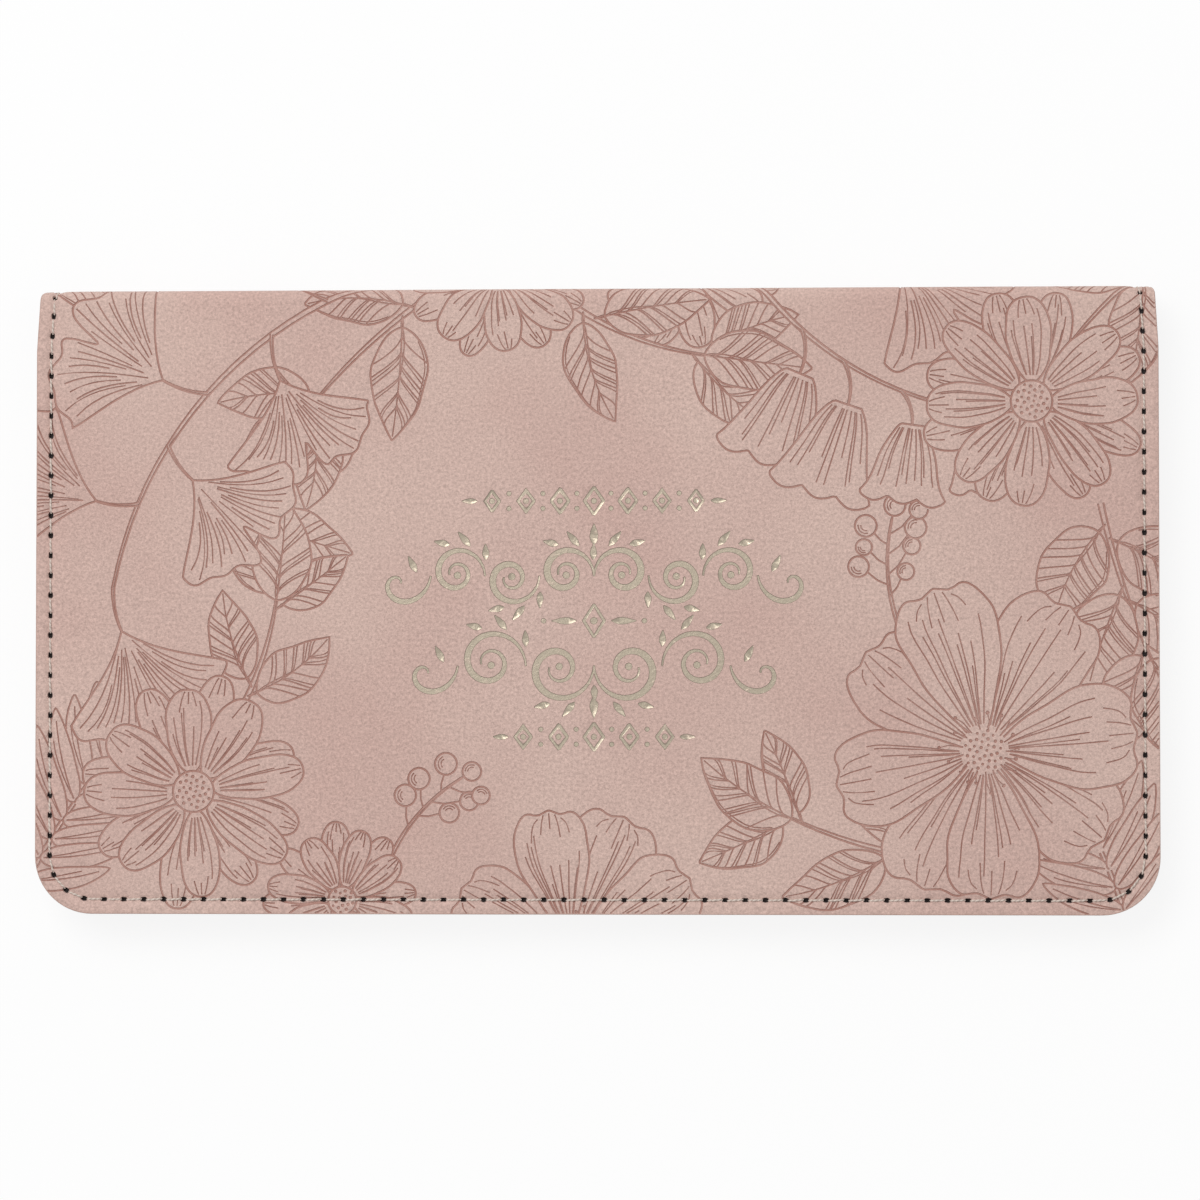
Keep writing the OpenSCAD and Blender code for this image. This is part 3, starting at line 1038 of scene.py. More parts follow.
class Tree:
    """Short ways to add and join nodes."""

    def __init__(self, tree):
        self.tree = tree

    def add(self, kind, inputs=None, **settings):
        node = self.tree.nodes.new(kind)
        for key, value in settings.items():
            setattr(node, key, value)
        for key, value in (inputs or {}).items():
            self.put(node.inputs[key], value)
        return node

    def get(self, kind, inputs=None, output=0, **settings):
        """One output of a new node."""
        return self.add(kind, inputs, **settings).outputs[output]

    def put(self, socket, value):
        if isinstance(value, bpy.types.NodeSocket):
            self.tree.links.new(value, socket)
        elif isinstance(value, tuple) and len(value) == 3 and socket.type == "RGBA":
            socket.default_value = (*value, 1.0)
        else:
            socket.default_value = value

    def math(self, operation, a, b=0.0, c=0.0):
        inputs = {0: a, 1: b, 2: c} if operation == "MULTIPLY_ADD" else {0: a, 1: b}
        return self.get("ShaderNodeMath", inputs, operation=operation)

    def times(self, a, b):
        return self.math("MULTIPLY", a, b)

    def wave(self, angle):
        """A wave between 0 and 1."""
        return self.math("MULTIPLY_ADD", self.math("SINE", angle), 0.5, 0.5)

    def spread(self, value, low, high, to_low=0.0, to_high=1.0, how="SMOOTHSTEP"):
        """A value from one range to another, with soft ends."""
        return self.get("ShaderNodeMapRange", {"Value": value, "From Min": low, "From Max": high,
                                               "To Min": to_low, "To Max": to_high}, interpolation_type=how)

    def even(self, value, low, high, to_low, to_high):
        """A value from one range to another in even steps."""
        return self.spread(value, low, high, to_low, to_high, "LINEAR")

    def blend(self, share, a, b, how="MIX"):
        return self.get("ShaderNodeMix", {0: share, 6: a, 7: b}, 2, data_type="RGBA", blend_type=how)

    def shade(self, base, tone):
        """A colour made darker or lighter by a tone."""
        grey = self.get("ShaderNodeCombineColor", {0: tone, 1: tone, 2: tone})
        return self.blend(1.0, base, grey, "MULTIPLY")

    def noise(self, vector, per_metre, detail, rough=0.55):
        return self.get("ShaderNodeTexNoise", {"Vector": vector, "Scale": per_metre, "Detail": detail,
                                               "Roughness": rough})

    def mark(self, name, wanted="Fac"):
        return self.get("ShaderNodeAttribute", None, wanted, attribute_name=name)


def new_material(name, **constants):
    """A material with one Principled shader and its unlinked numbers set."""
    material = bpy.data.materials.new(name)
    material.use_nodes = True
    shader = material.node_tree.nodes["Principled BSDF"]
    for key, value in constants.items():
        shader.inputs[key.replace("_", " ")].default_value = value
    return material, Tree(material.node_tree), shader


def pierced(t, base, dark):
    """A colour with the needle holes in it darkened by painted shade."""
    return t.blend(t.spread(t.mark("needle_hole_shade"), 0.15, 0.6), base, dark)


def finish_shader(t, shader, base, layers):
    """Gives a shader its colour, and bump from a list of (height 0 to 1, depth in millimetres)."""
    t.put(shader.inputs["Base Color"], base)
    normal = None
    for height, depth in layers:
        node = t.add("ShaderNodeBump", {"Height": height, "Strength": 1.0, "Distance": depth * MM})
        if normal is not None:
            t.put(node.inputs["Normal"], normal)
        normal = node.outputs[0]
    t.put(shader.inputs["Normal"], normal)


def pressed_leather():
    """Nubuck-like faux leather, darkened where the hot plate pressed it and foiled in the middle."""
    material, t, shader = new_material("pressed_leather", Specular_IOR_Level=0.32, Sheen_Weight=0.08,
                                       Sheen_Roughness=0.5)
    cut = t.mark("flat_place", "Vector")
    press, foil = t.mark("press"), t.mark("foil")
    cloud = t.noise(cut, 26, 2.5, 0.5)
    haze = t.noise(cut, 95, 3.0)
    grain = t.noise(cut, 2300, 3.0, 0.62)
    speck = t.noise(cut, 5200, 2.0, 0.6)
    base = t.blend(t.spread(cloud, 0.36, 0.64), linear(205, 177, 166), linear(197, 165, 155))
    base = t.blend(t.spread(haze, 0.3, 0.72, 0.0, 0.5), base, linear(199, 170, 160))
    tone = t.math("ADD", t.even(grain, 0.3, 0.7, 0.79, 1.15), t.even(speck, 0.3, 0.7, -0.12, 0.12))
    base = t.shade(base, tone)
    heat = t.spread(t.noise(cut, 160, 2.0), 0.35, 0.65, 0.74, 1.0)
    line = t.times(t.spread(press, 0.12, 0.5), heat)
    burnt = t.blend(t.spread(press, 0.6, 1.0), linear(150, 106, 95), linear(169, 126, 114))
    base = t.blend(line, base, burnt)
    worn = t.spread(t.noise(cut, 900, 2.0), 0.3, 0.42, 0.82, 1.0)
    gilt = t.times(t.spread(foil, 0.3, 0.7), worn)
    gold = t.blend(t.spread(foil, 0.5, 0.95), (0.165, 0.14, 0.107), (0.342, 0.294, 0.229))
    base = t.blend(gilt, base, gold)
    # Painted shade: the rounded cut edge is coloured darker
    base = t.blend(t.times(t.mark("cut_edge_shade"), 0.65), base, linear(176, 142, 130))
    t.put(shader.inputs["Metallic"], gilt)
    rough = t.even(grain, 0.3, 0.7, 0.68, 0.58)
    rough = t.math("SUBTRACT", rough, t.times(line, 0.14))
    t.put(shader.inputs["Roughness"], t.math("SUBTRACT", rough, t.times(gilt, 0.26)))
    calm = t.math("SUBTRACT", 1.0, t.times(gilt, 0.7))
    # Painted shade: the needle holes are coloured near black
    finish_shader(t, shader, pierced(t, base, linear(38, 26, 24)),
                  [(t.times(grain, calm), 0.1), (t.times(speck, calm), 0.03)])
    return material


def pocket_leather():
    """The smooth side of the same leather, with a fine pebble grain."""
    material, t, shader = new_material("pocket_leather", Specular_IOR_Level=0.4)
    cut = t.mark("flat_place", "Vector")
    cloud = t.noise(cut, 30, 2.5)
    pebble = t.get("ShaderNodeTexVoronoi", {"Vector": cut, "Scale": 1500.0}, feature="SMOOTH_F1")
    grain = t.noise(cut, 2600, 2.5, 0.6)
    base = t.blend(t.spread(cloud, 0.35, 0.65), linear(199, 168, 157), linear(191, 158, 148))
    base = t.shade(base, t.spread(pebble, 0.1, 0.7, 1.03, 0.95))
    # Painted shade: the rounded cut edge is coloured a little darker
    base = t.blend(t.times(t.mark("cut_edge_shade"), 0.3), base, linear(180, 147, 136))
    t.put(shader.inputs["Roughness"], t.even(grain, 0.3, 0.7, 0.6, 0.5))
    # Painted shade: the needle holes are coloured dark
    finish_shader(t, shader, pierced(t, base, linear(52, 38, 35)),
                  [(t.math("SUBTRACT", 1.0, pebble), 0.06), (grain, 0.015)])
    return material


def lining_cloth():
    """Fine twill in a greyed rose."""
    material, t, shader = new_material("lining_cloth", Roughness=0.85, Specular_IOR_Level=0.25,
                                       Sheen_Weight=0.2, Sheen_Roughness=0.4)
    wale_x, wale_s, yarn_pitch = 0.0006, 0.0008, 0.0003
    cut = t.mark("flat_place", "Vector")
    split = t.add("ShaderNodeSeparateXYZ", {0: cut}).outputs
    rib = t.wave(t.math("ADD", t.times(split[0], 2 * PI / wale_x), t.times(split[1], 2 * PI / wale_s)))
    yarn = t.wave(t.times(split[1], 2 * PI / yarn_pitch))
    cloud = t.noise(cut, 60, 3.0)
    slub = t.noise(cut, 1200, 2.0)
    base = t.blend(t.spread(cloud, 0.3, 0.7), linear(184, 156, 148), linear(174, 146, 139))
    tone = t.math("ADD", t.even(rib, 0.0, 1.0, 0.88, 1.04), t.even(slub, 0.3, 0.7, -0.04, 0.04))
    # Painted shade: the needle holes are coloured dark
    base = pierced(t, t.shade(base, tone), linear(52, 38, 35))
    finish_shader(t, shader, base, [(rib, 0.06), (yarn, 0.02)])
    return material


def book_board():
    """Grey bookbinder's board with flecks and a layered cut edge."""
    material, t, shader = new_material("book_board", Roughness=0.9, Specular_IOR_Level=0.2)
    where = t.get("ShaderNodeTexCoord", None, "Object")
    fleck = t.noise(where, 1400, 3.0)
    ply = t.noise(t.get("ShaderNodeMapping", {"Vector": where, "Scale": (0.15, 0.15, 9.0)}), 700, 2.0)
    base = t.blend(t.spread(fleck, 0.35, 0.65), linear(160, 146, 132), linear(140, 126, 113))
    finish_shader(t, shader, t.shade(base, t.even(ply, 0.3, 0.7, 0.88, 1.06)), [(fleck, 0.05)])
    return material


def sewing_thread():
    """Pale twisted thread: stripes wind round each stitch."""
    material, t, shader = new_material("sewing_thread", Roughness=0.55, Specular_IOR_Level=0.35,
                                       Sheen_Weight=0.15, Sheen_Roughness=0.4)
    twist = 0.0007
    turn = t.times(t.mark("along"), 2 * PI / twist)
    wave = t.math("ADD", t.times(t.math("SINE", turn), t.mark("round_cos")),
                  t.times(t.math("COSINE", turn), t.mark("round_sin")))
    ply = t.math("MULTIPLY_ADD", wave, 0.5, 0.5)
    lint = t.noise(t.get("ShaderNodeTexCoord", None, "Object"), 2500, 2.0)
    base = t.blend(t.spread(ply, 0.05, 0.6), linear(186, 168, 158), linear(214, 200, 189))
    finish_shader(t, shader, t.shade(base, t.even(lint, 0.3, 0.7, 0.94, 1.04)), [(ply, 0.07), (lint, 0.02)])
    return material


def clear_vinyl():
    """Clear soft vinyl."""
    material, t, shader = new_material("clear_vinyl", Roughness=0.12, Specular_IOR_Level=0.5, Alpha=0.11)
    haze = t.noise(t.mark("flat_place", "Vector"), 45, 2.0)
    base = t.blend(t.spread(haze, 0.35, 0.65), (0.86, 0.89, 0.91), (0.80, 0.84, 0.87))
    finish_shader(t, shader, base, [(haze, 0.25)])
    return material


# Camera, light and floor

DOME = 0.55
LAMP = 10.4
FLOOR_GLOW = 0.86


def white_for_camera(tree):
    """A share of 1 for camera, glossy and transmission rays, which see plain white."""
    rays = tree.add("ShaderNodeLightPath").outputs
    seen = tree.math("MAXIMUM", rays["Is Camera Ray"], rays["Is Glossy Ray"])
    return tree.math("MAXIMUM", seen, rays["Is Transmission Ray"])


def make_camera():
    """Straight above, a little towards the free edge and the right side, as in the photo."""
    to_right, to_free_edge = math.radians(3.2), math.radians(2.0)
    distance = 0.7015
    data = bpy.data.cameras.new("camera")
    data.sensor_width = 36
    data.lens = 143.3
    data.clip_start = 0.01
    camera = bpy.data.objects.new("camera", data)
    bpy.context.scene.collection.objects.link(camera)
    aim = Vector((0.0008, 0.0001, 0.0065))
    away = Vector((math.tan(to_right), -math.tan(to_free_edge), 1.0)).normalized()
    forward = -away
    right = forward.cross(Vector((0, 1, 0))).normalized()
    up = right.cross(forward)
    turn = Matrix((right, up, away)).transposed().to_4x4()
    camera.matrix_world = Matrix.Translation(aim + away * distance) @ turn
    bpy.context.scene.camera = camera
    bpy.context.scene.view_settings.view_transform = "Standard"


def make_light():
    """A white dome that fills every side and one large soft lamp from the upper left."""
    world = bpy.data.worlds.new("studio")
    bpy.context.scene.world = world
    world.use_nodes = True
    t = Tree(world.node_tree)
    ground = world.node_tree.nodes["Background"]
    ground.inputs["Color"].default_value = (1, 1, 1, 1)
    t.put(ground.inputs["Strength"], t.math("MULTIPLY_ADD", white_for_camera(t), 1.0 - DOME, DOME))
    data = bpy.data.lights.new("window", "AREA")
    data.shape = "RECTANGLE"
    data.size = 0.9
    data.size_y = 0.7
    data.energy = LAMP
    lamp = bpy.data.objects.new("window", data)
    place = Vector((-0.42, 0.6, 1.1))
    lamp.matrix_world = Matrix.Translation(place) @ (-place).to_track_quat("-Z", "Y").to_matrix().to_4x4()
    bpy.context.scene.collection.objects.link(lamp)


def make_floor():
    """A pale table top that shows white and keeps the cover's shadow."""
    reach, level = 3, -0.0001
    mesh = bpy.data.meshes.new("table_top")
    corners = [(x * reach, y * reach, level) for x, y in ((-1, -1), (1, -1), (1, 1), (-1, 1))]
    mesh.from_pydata(corners, [], [(0, 1, 2, 3)])
    floor = bpy.data.objects.new("table_top", mesh)
    bpy.context.scene.collection.objects.link(floor)
    material, t, shader = new_material("white_table", Roughness=1.0, Specular_IOR_Level=0.0,
                                       Base_Color=(0.9, 0.9, 0.9, 1))
    glow = t.get("ShaderNodeEmission", {"Color": (1.0, 1.0, 1.0), "Strength": 1.0})
    seen = t.times(white_for_camera(t), FLOOR_GLOW)
    both = t.get("ShaderNodeMixShader", {0: seen, 1: shader.outputs[0], 2: glow})
    t.put(material.node_tree.nodes["Material Output"].inputs["Surface"], both)
    mesh.materials.append(material)


make_camera()
make_light()
make_floor()

LEATHER = pressed_leather()
POCKET = pocket_leather()
CLOTH = lining_cloth()
BOARD = book_board()
THREAD = sewing_thread()
VINYL = clear_vinyl()


# Stitches

def stitch_tree():
    """Geometry nodes that sew a row of arched stitches along a path."""
    group = bpy.data.node_groups.new("stitch_row", "GeometryNodeTree")
    for name, kind in (("Path", "Geometry"), ("Stitches", "Int"), ("Stitch length", "Float"),
                       ("Thread radius", "Float"), ("Arch", "Float"), ("Slant", "Float"), ("Seed", "Int"),
                       ("Thread", "Material")):
        group.interface.new_socket(name, in_out="INPUT", socket_type="NodeSocket" + kind)
    group.interface.new_socket("Row", in_out="OUTPUT", socket_type="NodeSocketGeometry")
    t = Tree(group)
    given = t.add("NodeGroupInput").outputs

    def keep(geometry, name, value, kind="FLOAT", domain="POINT"):
        return t.get("GeometryNodeStoreNamedAttribute", {"Geometry": geometry, "Name": name, "Value": value},
                     data_type=kind, domain=domain)

    def vary(low, high):
        """A random number for each stitch."""
        inputs = {2: low, 3: high, "Seed": given["Seed"]}
        return t.get("FunctionNodeRandomValue", inputs, 1, data_type="FLOAT")

    def place(along, up):
        return t.get("ShaderNodeCombineXYZ", {0: along, 2: up})

    curve = t.get("GeometryNodeMeshToCurve", {"Mesh": given["Path"]})
    holes = t.math("ADD", given["Stitches"], 1)
    even = t.get("GeometryNodeResampleCurve", {"Curve": curve, "Count": holes}, mode="COUNT")
    steps = t.get("GeometryNodeCurveToMesh", {"Curve": even})
    ends = t.add("GeometryNodeInputMeshEdgeVertices").outputs
    way = t.get("ShaderNodeVectorMath", {0: ends["Position 2"], 1: ends["Position 1"]}, operation="SUBTRACT")
    steps = keep(steps, "way", way, "FLOAT_VECTOR", "EDGE")
    points = t.get("GeometryNodeMeshToPoints", {"Mesh": steps}, mode="EDGES")
    up = t.get("GeometryNodeInputNamedAttribute", {"Name": "up"}, data_type="FLOAT_VECTOR")
    way = t.get("GeometryNodeInputNamedAttribute", {"Name": "way"}, data_type="FLOAT_VECTOR")
    turn = t.get("FunctionNodeAlignRotationToVector", {"Vector": way}, axis="X")
    turn = t.get("FunctionNodeAlignRotationToVector", {"Rotation": turn, "Vector": up}, axis="Z",
                 pivot_axis="X")
    tilt = t.get("ShaderNodeCombineXYZ", {2: t.math("ADD", given["Slant"], vary(-0.03, 0.03))})
    turn = t.get("FunctionNodeRotateRotation", {"Rotation": turn, "Rotate By": tilt}, rotation_space="LOCAL")

    half, arch = t.times(given["Stitch length"], 0.5), given["Arch"]
    line = t.get("GeometryNodeCurveQuadraticBezier", {
        "Resolution": 8, "Start": place(t.times(half, -1.0), t.times(arch, -1.0)),
        "Middle": place(0.0, arch), "End": place(half, t.times(arch, -1.0))})
    on_line = t.add("GeometryNodeSplineParameter").outputs
    off = t.math("ABSOLUTE", t.math("MULTIPLY_ADD", on_line["Factor"], 2.0, -1.0))
    swell = t.math("MULTIPLY_ADD", t.math("POWER", off, 3.0), -0.35, 1.0)
    line = keep(line, "along", on_line["Length"])
    loop = t.get("GeometryNodeCurvePrimitiveCircle", {"Resolution": 8, "Radius": given["Thread radius"]},
                 mode="RADIUS")
    angle = t.times(t.get("GeometryNodeSplineParameter", None, "Factor"), 2 * PI)
    loop = keep(loop, "round_cos", t.math("COSINE", angle))
    loop = keep(loop, "round_sin", t.math("SINE", angle))
    body = t.get("GeometryNodeCurveToMesh", {"Curve": line, "Profile Curve": loop, "Scale": swell,
                                             "Fill Caps": True})
    row = t.get("GeometryNodeInstanceOnPoints", {"Points": points, "Instance": body, "Rotation": turn,
                                                 "Scale": vary(0.95, 1.04)})
    row = t.get("GeometryNodeRealizeInstances", {"Geometry": row})
    row = t.get("GeometryNodeSetShadeSmooth", {"Geometry": row})
    row = t.get("GeometryNodeSetMaterial", {"Geometry": row, "Material": given["Thread"]})
    t.add("NodeGroupOutput", {"Row": row})
    return group


STITCHES = stitch_tree()


def sew(points, ups, count, seed, arch=0.26, lift=0.0):
    """Sews a number of stitches along a path, given by its points and the way out at each.

    lift raises a stitch that has to reach over a bend or an edge between its holes.
    """
    path_step, gap, slant = 0.4, 0.72, 0.05
    run = run_of(points)
    fine = np.linspace(0, run[-1], max(2, int(run[-1] / path_step)))
    up = np.column_stack([np.interp(fine, run, ups[:, k]) for k in range(3)])
    place = (along_line(points, fine) + lift * up.mean(0)) * MM
    mesh = bpy.data.meshes.new("seam_path")
    mesh.from_pydata(place.tolist(), [(i, i + 1) for i in range(len(fine) - 1)], [])
    ways = mesh.attributes.new("up", "FLOAT_VECTOR", "POINT").data
    ways.foreach_set("vector", up.astype(np.float32).ravel())
    path = bpy.data.objects.new("seam_path", mesh)
    bpy.context.scene.collection.objects.link(path)
    modifier = path.modifiers.new("stitches", "NODES")
    modifier.node_group = STITCHES
    values = {"Stitches": count, "Stitch length": (run[-1] / count - gap) * MM,
              "Thread radius": THREAD_D / 2 * MM, "Arch": (arch + lift) * MM, "Slant": slant, "Seed": seed,
              "Thread": THREAD}
    for item in STITCHES.interface.items_tree:
        if item.item_type == "SOCKET" and item.in_out == "INPUT" and item.name in values:
            modifier[item.identifier] = values[item.name]
    graph = bpy.context.evaluated_depsgraph_get()
    row = bpy.data.meshes.new_from_object(path.evaluated_get(graph))
    bpy.data.objects.remove(path)
    return row


def thread_piece(name, meshes):
    """Joins rows of stitches to one piece."""
    joined = bmesh.new()
    for mesh in meshes:
        joined.from_mesh(mesh)
    mesh = bpy.data.meshes.new(name)
    joined.to_mesh(mesh)
    joined.free()
    mesh.materials.clear()
    mesh.materials.append(THREAD)
    piece = bpy.data.objects.new(name, mesh)
    bpy.context.scene.collection.objects.link(piece)
    return piece


# The outer sheet

def lay_bend(flat, centre_z, radius, side, front, bulge=0.0):
    """Lays a sheet flat over one half, round a crease, and along the fold.

    radius is that of its drawn face in the crease; side is -1 where the sheet lies inside that face.
    bulge is how far slack cloth sags outwards in the crease.
    """
    def lay(x, s, depth):
        turn = np.clip((s - flat) / radius, 0, PI / 2)
        r = radius + side * depth + bulge * np.sin(2 * turn) ** 2
        y = FREE_Y + np.minimum(s, flat) + r * np.sin(turn)
        z = centre_z - r * np.cos(turn) + np.maximum(s - flat - radius * PI / 2, 0)
        return np.column_stack([x, y, CLOSED_T - z if front else z])
    return lay


def lay_skin(front):
    return lay_bend(FLAT, CREASE_R, CREASE_R, -1, front)


def lay_level(level, front):
    """Lays a sheet flat with its drawn face at a level of the back half, or that of the front."""
    def lay(x, s, depth):
        z = level - depth
        return np.column_stack([x, FREE_Y + s, CLOSED_T - z if front else z])
    return lay


def ways_out(lay, flat, depth):
    """Points of a line laid at a depth, and the way out of the surface at each."""
    x, s = flat.T
    here = lay(x, s, np.full(len(x), depth))
    out = here - lay(x, s, np.full(len(x), depth + 0.1))
    return here, out / np.sqrt((out**2).sum(1))[:, None]


# The seam has even holes from the crest of the crease on one side to that on the other, and one more at each
# end, on the fold
SEAM = seam_line(REACH)
CREST = FLAT + TURN / 3
SPINE_HOLE = REACH - 1.36
SEAM_RUN = run_of(SEAM)
FIRST = float(np.interp(REACH - CREST, REACH - SEAM[:200, 1], SEAM_RUN[:200]))
LAST = SEAM_RUN[-1] - FIRST
SEAM_COUNT = int(round((LAST - FIRST) / STITCH_PITCH))
HOLES = np.concatenate([[REACH - SPINE_HOLE], np.linspace(FIRST, LAST, SEAM_COUNT + 1),
                        [SEAM_RUN[-1] - REACH + SPINE_HOLE]])
HOLE_S = along_line(SEAM, HOLES)[:, 1]

# Half the length and half the width of a needle hole, and how much wider its dented rim is
HOLE_LONG = 0.46
HOLE_WIDE = 0.34
HOLE_RIM = 1.25


def search_tree(points):
    """A tree that finds the nearest of flat points."""
    tree = KDTree(len(points))
    for i, c in enumerate(points):
        tree.insert((*c, 0), i)
    tree.balance()
    return tree


class NeedleHoles:
    """Oblong needle holes along a seam."""

    def __init__(self, line, at):
        self.middle = along_line(line, at)
        ahead = along_line(line, at + 0.2) - along_line(line, at - 0.2)
        self.ahead = ahead / np.hypot(*ahead.T)[:, None]
        self.side = np.column_stack([-self.ahead[:, 1], self.ahead[:, 0]])

    def rings(self):
        """Lines round each hole for a draft, at its dented rim and inside it."""
        rings = []
        for c, a, b in zip(self.middle, self.ahead, self.side):
            for size, corners in ((HOLE_RIM, 10), (0.72, 7)):
                ring = np.linspace(0, 2 * PI, corners, endpoint=False)[:, None]
                rings.append(c + size * (HOLE_LONG * np.cos(ring) * a + HOLE_WIDE * np.sin(ring) * b))
        return rings

    def depth(self, points, fall):
        """How deep the holes are at each point, and how strong their painted shade is."""
        tree = search_tree(self.middle)
        value = np.zeros(len(points))
        near = np.array([tree.find((*p, 0))[1:] for p in points])
        close = np.flatnonzero(near[:, 1] < 1.3 * HOLE_LONG)
        k = near[close, 0].astype(int)
        off = points[close] - self.middle[k]
        r = np.hypot((off * self.ahead[k]).sum(1) / HOLE_LONG, (off * self.side[k]).sum(1) / HOLE_WIDE)
        value[close] = np.clip((HOLE_RIM - r) / 0.53, 0, 1)
        middle = np.where(value > 0, np.clip(1 - near[:, 1] / HOLE_WIDE, 0, 1), 0)
        return fall * value + 0.25 * middle, value


def seam_gap(points):
    """Distance of points to the rim seam."""
    tree = search_tree(SEAM)
    return np.array([tree.find((*p, 0))[2] for p in points])


def dip(gap, deep, wide):
    """Depth of a soft valley, at a distance from its middle."""
    return deep * np.exp(-((gap / wide) ** 2))


def rounding(side, deep, wide):
    """Depth of a rounded edge, at a distance from it."""
    return deep * np.clip(1 - side / wide, 0, 1) ** 2


def bend_rows(flat, radius, before):
    """Rows of a sheet that goes round a crease: one just before it, and even ones round it."""
    return np.concatenate([[flat - before], np.linspace(flat, flat + radius * PI / 2, 9)])


def draft_strokes(draft, kinds):
    """Puts the edges of pen strokes into a draft. kinds holds a list of strokes for each kind.

    Gives close points along the strokes, with half the stroke's width and its kind at each.
    """
    samples, halves, found = [], [], []
    for kind, strokes in enumerate(kinds):
        for points, widths in strokes:
            if points[:, 1].min() > REACH + 0.6 or points[:, 1].max() < -0.6:
                continue
            if np.abs(points[:, 0]).min() > HALF_W + 0.6:
                continue
            if len(points) > 1:
                points, widths = thin_out(points, widths)
            draft.line(stroke_outline(points, widths, BEVEL, BEVEL), closed=True)
            if widths.max() > 2.6 * BEVEL:
                low = np.maximum(widths, 2.4 * BEVEL)
                draft.line(stroke_outline(points, low, -BEVEL, -0.02), closed=True)
            elif len(points) > 1:
                draft.line(points)
            if len(points) > 1:
                run = run_of(points)
                at = np.linspace(0, run[-1], max(2, int(run[-1] / 0.12)))
                samples.append(along_line(points, at))
                halves.append(np.interp(at, run, widths) / 2)
            else:
                samples.append(points)
                halves.append(widths / 2)
            found.append(np.full(len(samples[-1]), kind))
    return (np.concatenate(a) for a in (samples, halves, found))


def skin_half(name, front, lines, foil):
    """One half of the outer sheet, with its pressed lines, foil, seam valley and needle holes."""
    def to_half(points):
        return points if front else np.column_stack([points[:, 0], SHEET - points[:, 1]])

    ring = half_ring(REACH)
    draft = Draft()
    strokes = [[(to_half(points), widths) for points, widths in group] for group in (lines, foil)]
    samples, halves, kinds = draft_strokes(draft, strokes)
    tree = search_tree(samples)
    holes = NeedleHoles(SEAM, HOLES)
    draft.rings(holes.rings())
    for off in (-1.15, -0.62, -0.3, 0, 0.3, 0.62, 1.1, 1.8):
        draft.line(seam_line(REACH, SEAM_INSET + off, 1.1))
    draft.across(np.append(bend_rows(FLAT, CREASE_R, 0.7), FLAT + TURN + 0.8), HALF_W + 1, 76)
    draft.net(np.arange(-78.2, 78, 2.8), np.arange(3.8, FLAT - 1, 2.7), 1.2)

    def relief(points):
        press, gilt = np.zeros(len(points)), np.zeros(len(points))
        for i, p in enumerate(points):
            for _, k, gap in tree.find_n((*p, 0), 3):
                value = min(1.0, max(0.0, (halves[k] - gap) / (2 * BEVEL) + 0.5))
                kept = gilt if kinds[k] else press
                kept[i] = max(kept[i], value)
        x, s = points.T
        gap = seam_gap(points)
        base, _ = ring.place(points, 0.25)
        rim = np.hypot(*(points - base).T)
        rim = np.where(s > REACH - 2.5, np.minimum(rim, 9), rim)
        side = np.minimum(HALF_W - lean(s) - fold_round(s) - np.abs(x), np.where(s < 20, rim, 9))
        crown = rounding(side, 0.13, 1.5)
        valley = dip(gap, 0.24, 0.62) + dip(gap, 0.05, 1.9)
        pits, dark = holes.depth(points, fall=0.7)
        v = to_half(points)[:, 1]
        wave = 0.035 * (np.sin(x / 9.1 + 0.6 * np.sin(v / 13)) * np.sin(v / 11.3 + 1) + 1)
        grooves = np.maximum(PRESS_DEPTH * press, FOIL_DEPTH * gilt)
        depth = np.minimum(grooves + crown + valley + pits + wave, SKIN_T - 0.06)
        return depth, {"press": press, "foil": gilt, "needle_hole_shade": dark}

    rows = np.linspace(FLAT, FLAT + TURN, 7)
    piece, flat, deep = sheet_piece(name, ring, draft, SKIN_T, relief, lay_skin(front), rows)
    paint(piece, "flat_place", np.column_stack([to_half(flat), -deep]) * MM)
    return finish_piece(piece, LEATHER)


LINES = pressed_ornament()
FOIL = foil_ornament()

back_leather = skin_half("back_leather", False, LINES, [])
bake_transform(back_leather)
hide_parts("back_skin", "spine_skin")

front_leather = skin_half("front_leather", True, LINES, FOIL)
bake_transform(front_leather)
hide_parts("front_skin")


def outer_stitches(name, front):
    """The seam of one half, which runs on over its crease to the fold."""
    lay = lay_skin(front)
    seed = 3 if front else 9
    place, up = ways_out(lay, along_line(SEAM, np.linspace(HOLES[1], HOLES[-2], 900)), 0.2)
    rows = [sew(place, up, SEAM_COUNT, seed)]
    for ends in (HOLES[:2], HOLES[-2:]):
        place, up = ways_out(lay, along_line(SEAM, ends), 0.2)
        rows.append(sew(place, up, 1, seed, lift=0.36))
    if not front:
        for end in (HOLES[0], HOLES[-1]):
            here, out = ways_out(lay, along_line(SEAM, np.array([end])), 0.2)
            place = np.concatenate([here, here * (1, 1, -1) + (0, 0, CLOSED_T)])
            rows.append(sew(place, np.concatenate([out, out]), 1, seed))
    return thread_piece(name, rows)


back_seam = outer_stitches("back_seam", False)
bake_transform(back_seam)
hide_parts("back_seam_thread", "spine_seam_thread")

front_seam = outer_stitches("front_seam", True)
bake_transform(front_seam)
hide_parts("front_seam_thread")


# Boards, lining and pockets

for node in ("back_board", "front_board"):
    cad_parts[node].data.materials.clear()
    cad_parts[node].data.materials.append(BOARD)

LINING_FLAT = 89.5
LINING_R = 1.0
LINING_SAG = 0.52
LINING_REACH = LINING_FLAT + LINING_R * PI / 2 + CLOSED_T / 2 - LINING_TOP - LINING_R
HEM = POCKET_H - HEM_INSET
HEM_HALF = 78.2
ROW_HOLES = 54
HEM_HOLES = np.linspace(0, 2 * HEM_HALF, ROW_HOLES)
HEM_LINE = np.array([(-HEM_HALF, HEM), (HEM_HALF, HEM)])


def lay_lining(front):
    return lay_bend(LINING_FLAT, LINING_TOP + LINING_R, LINING_R, 1, front, LINING_SAG)


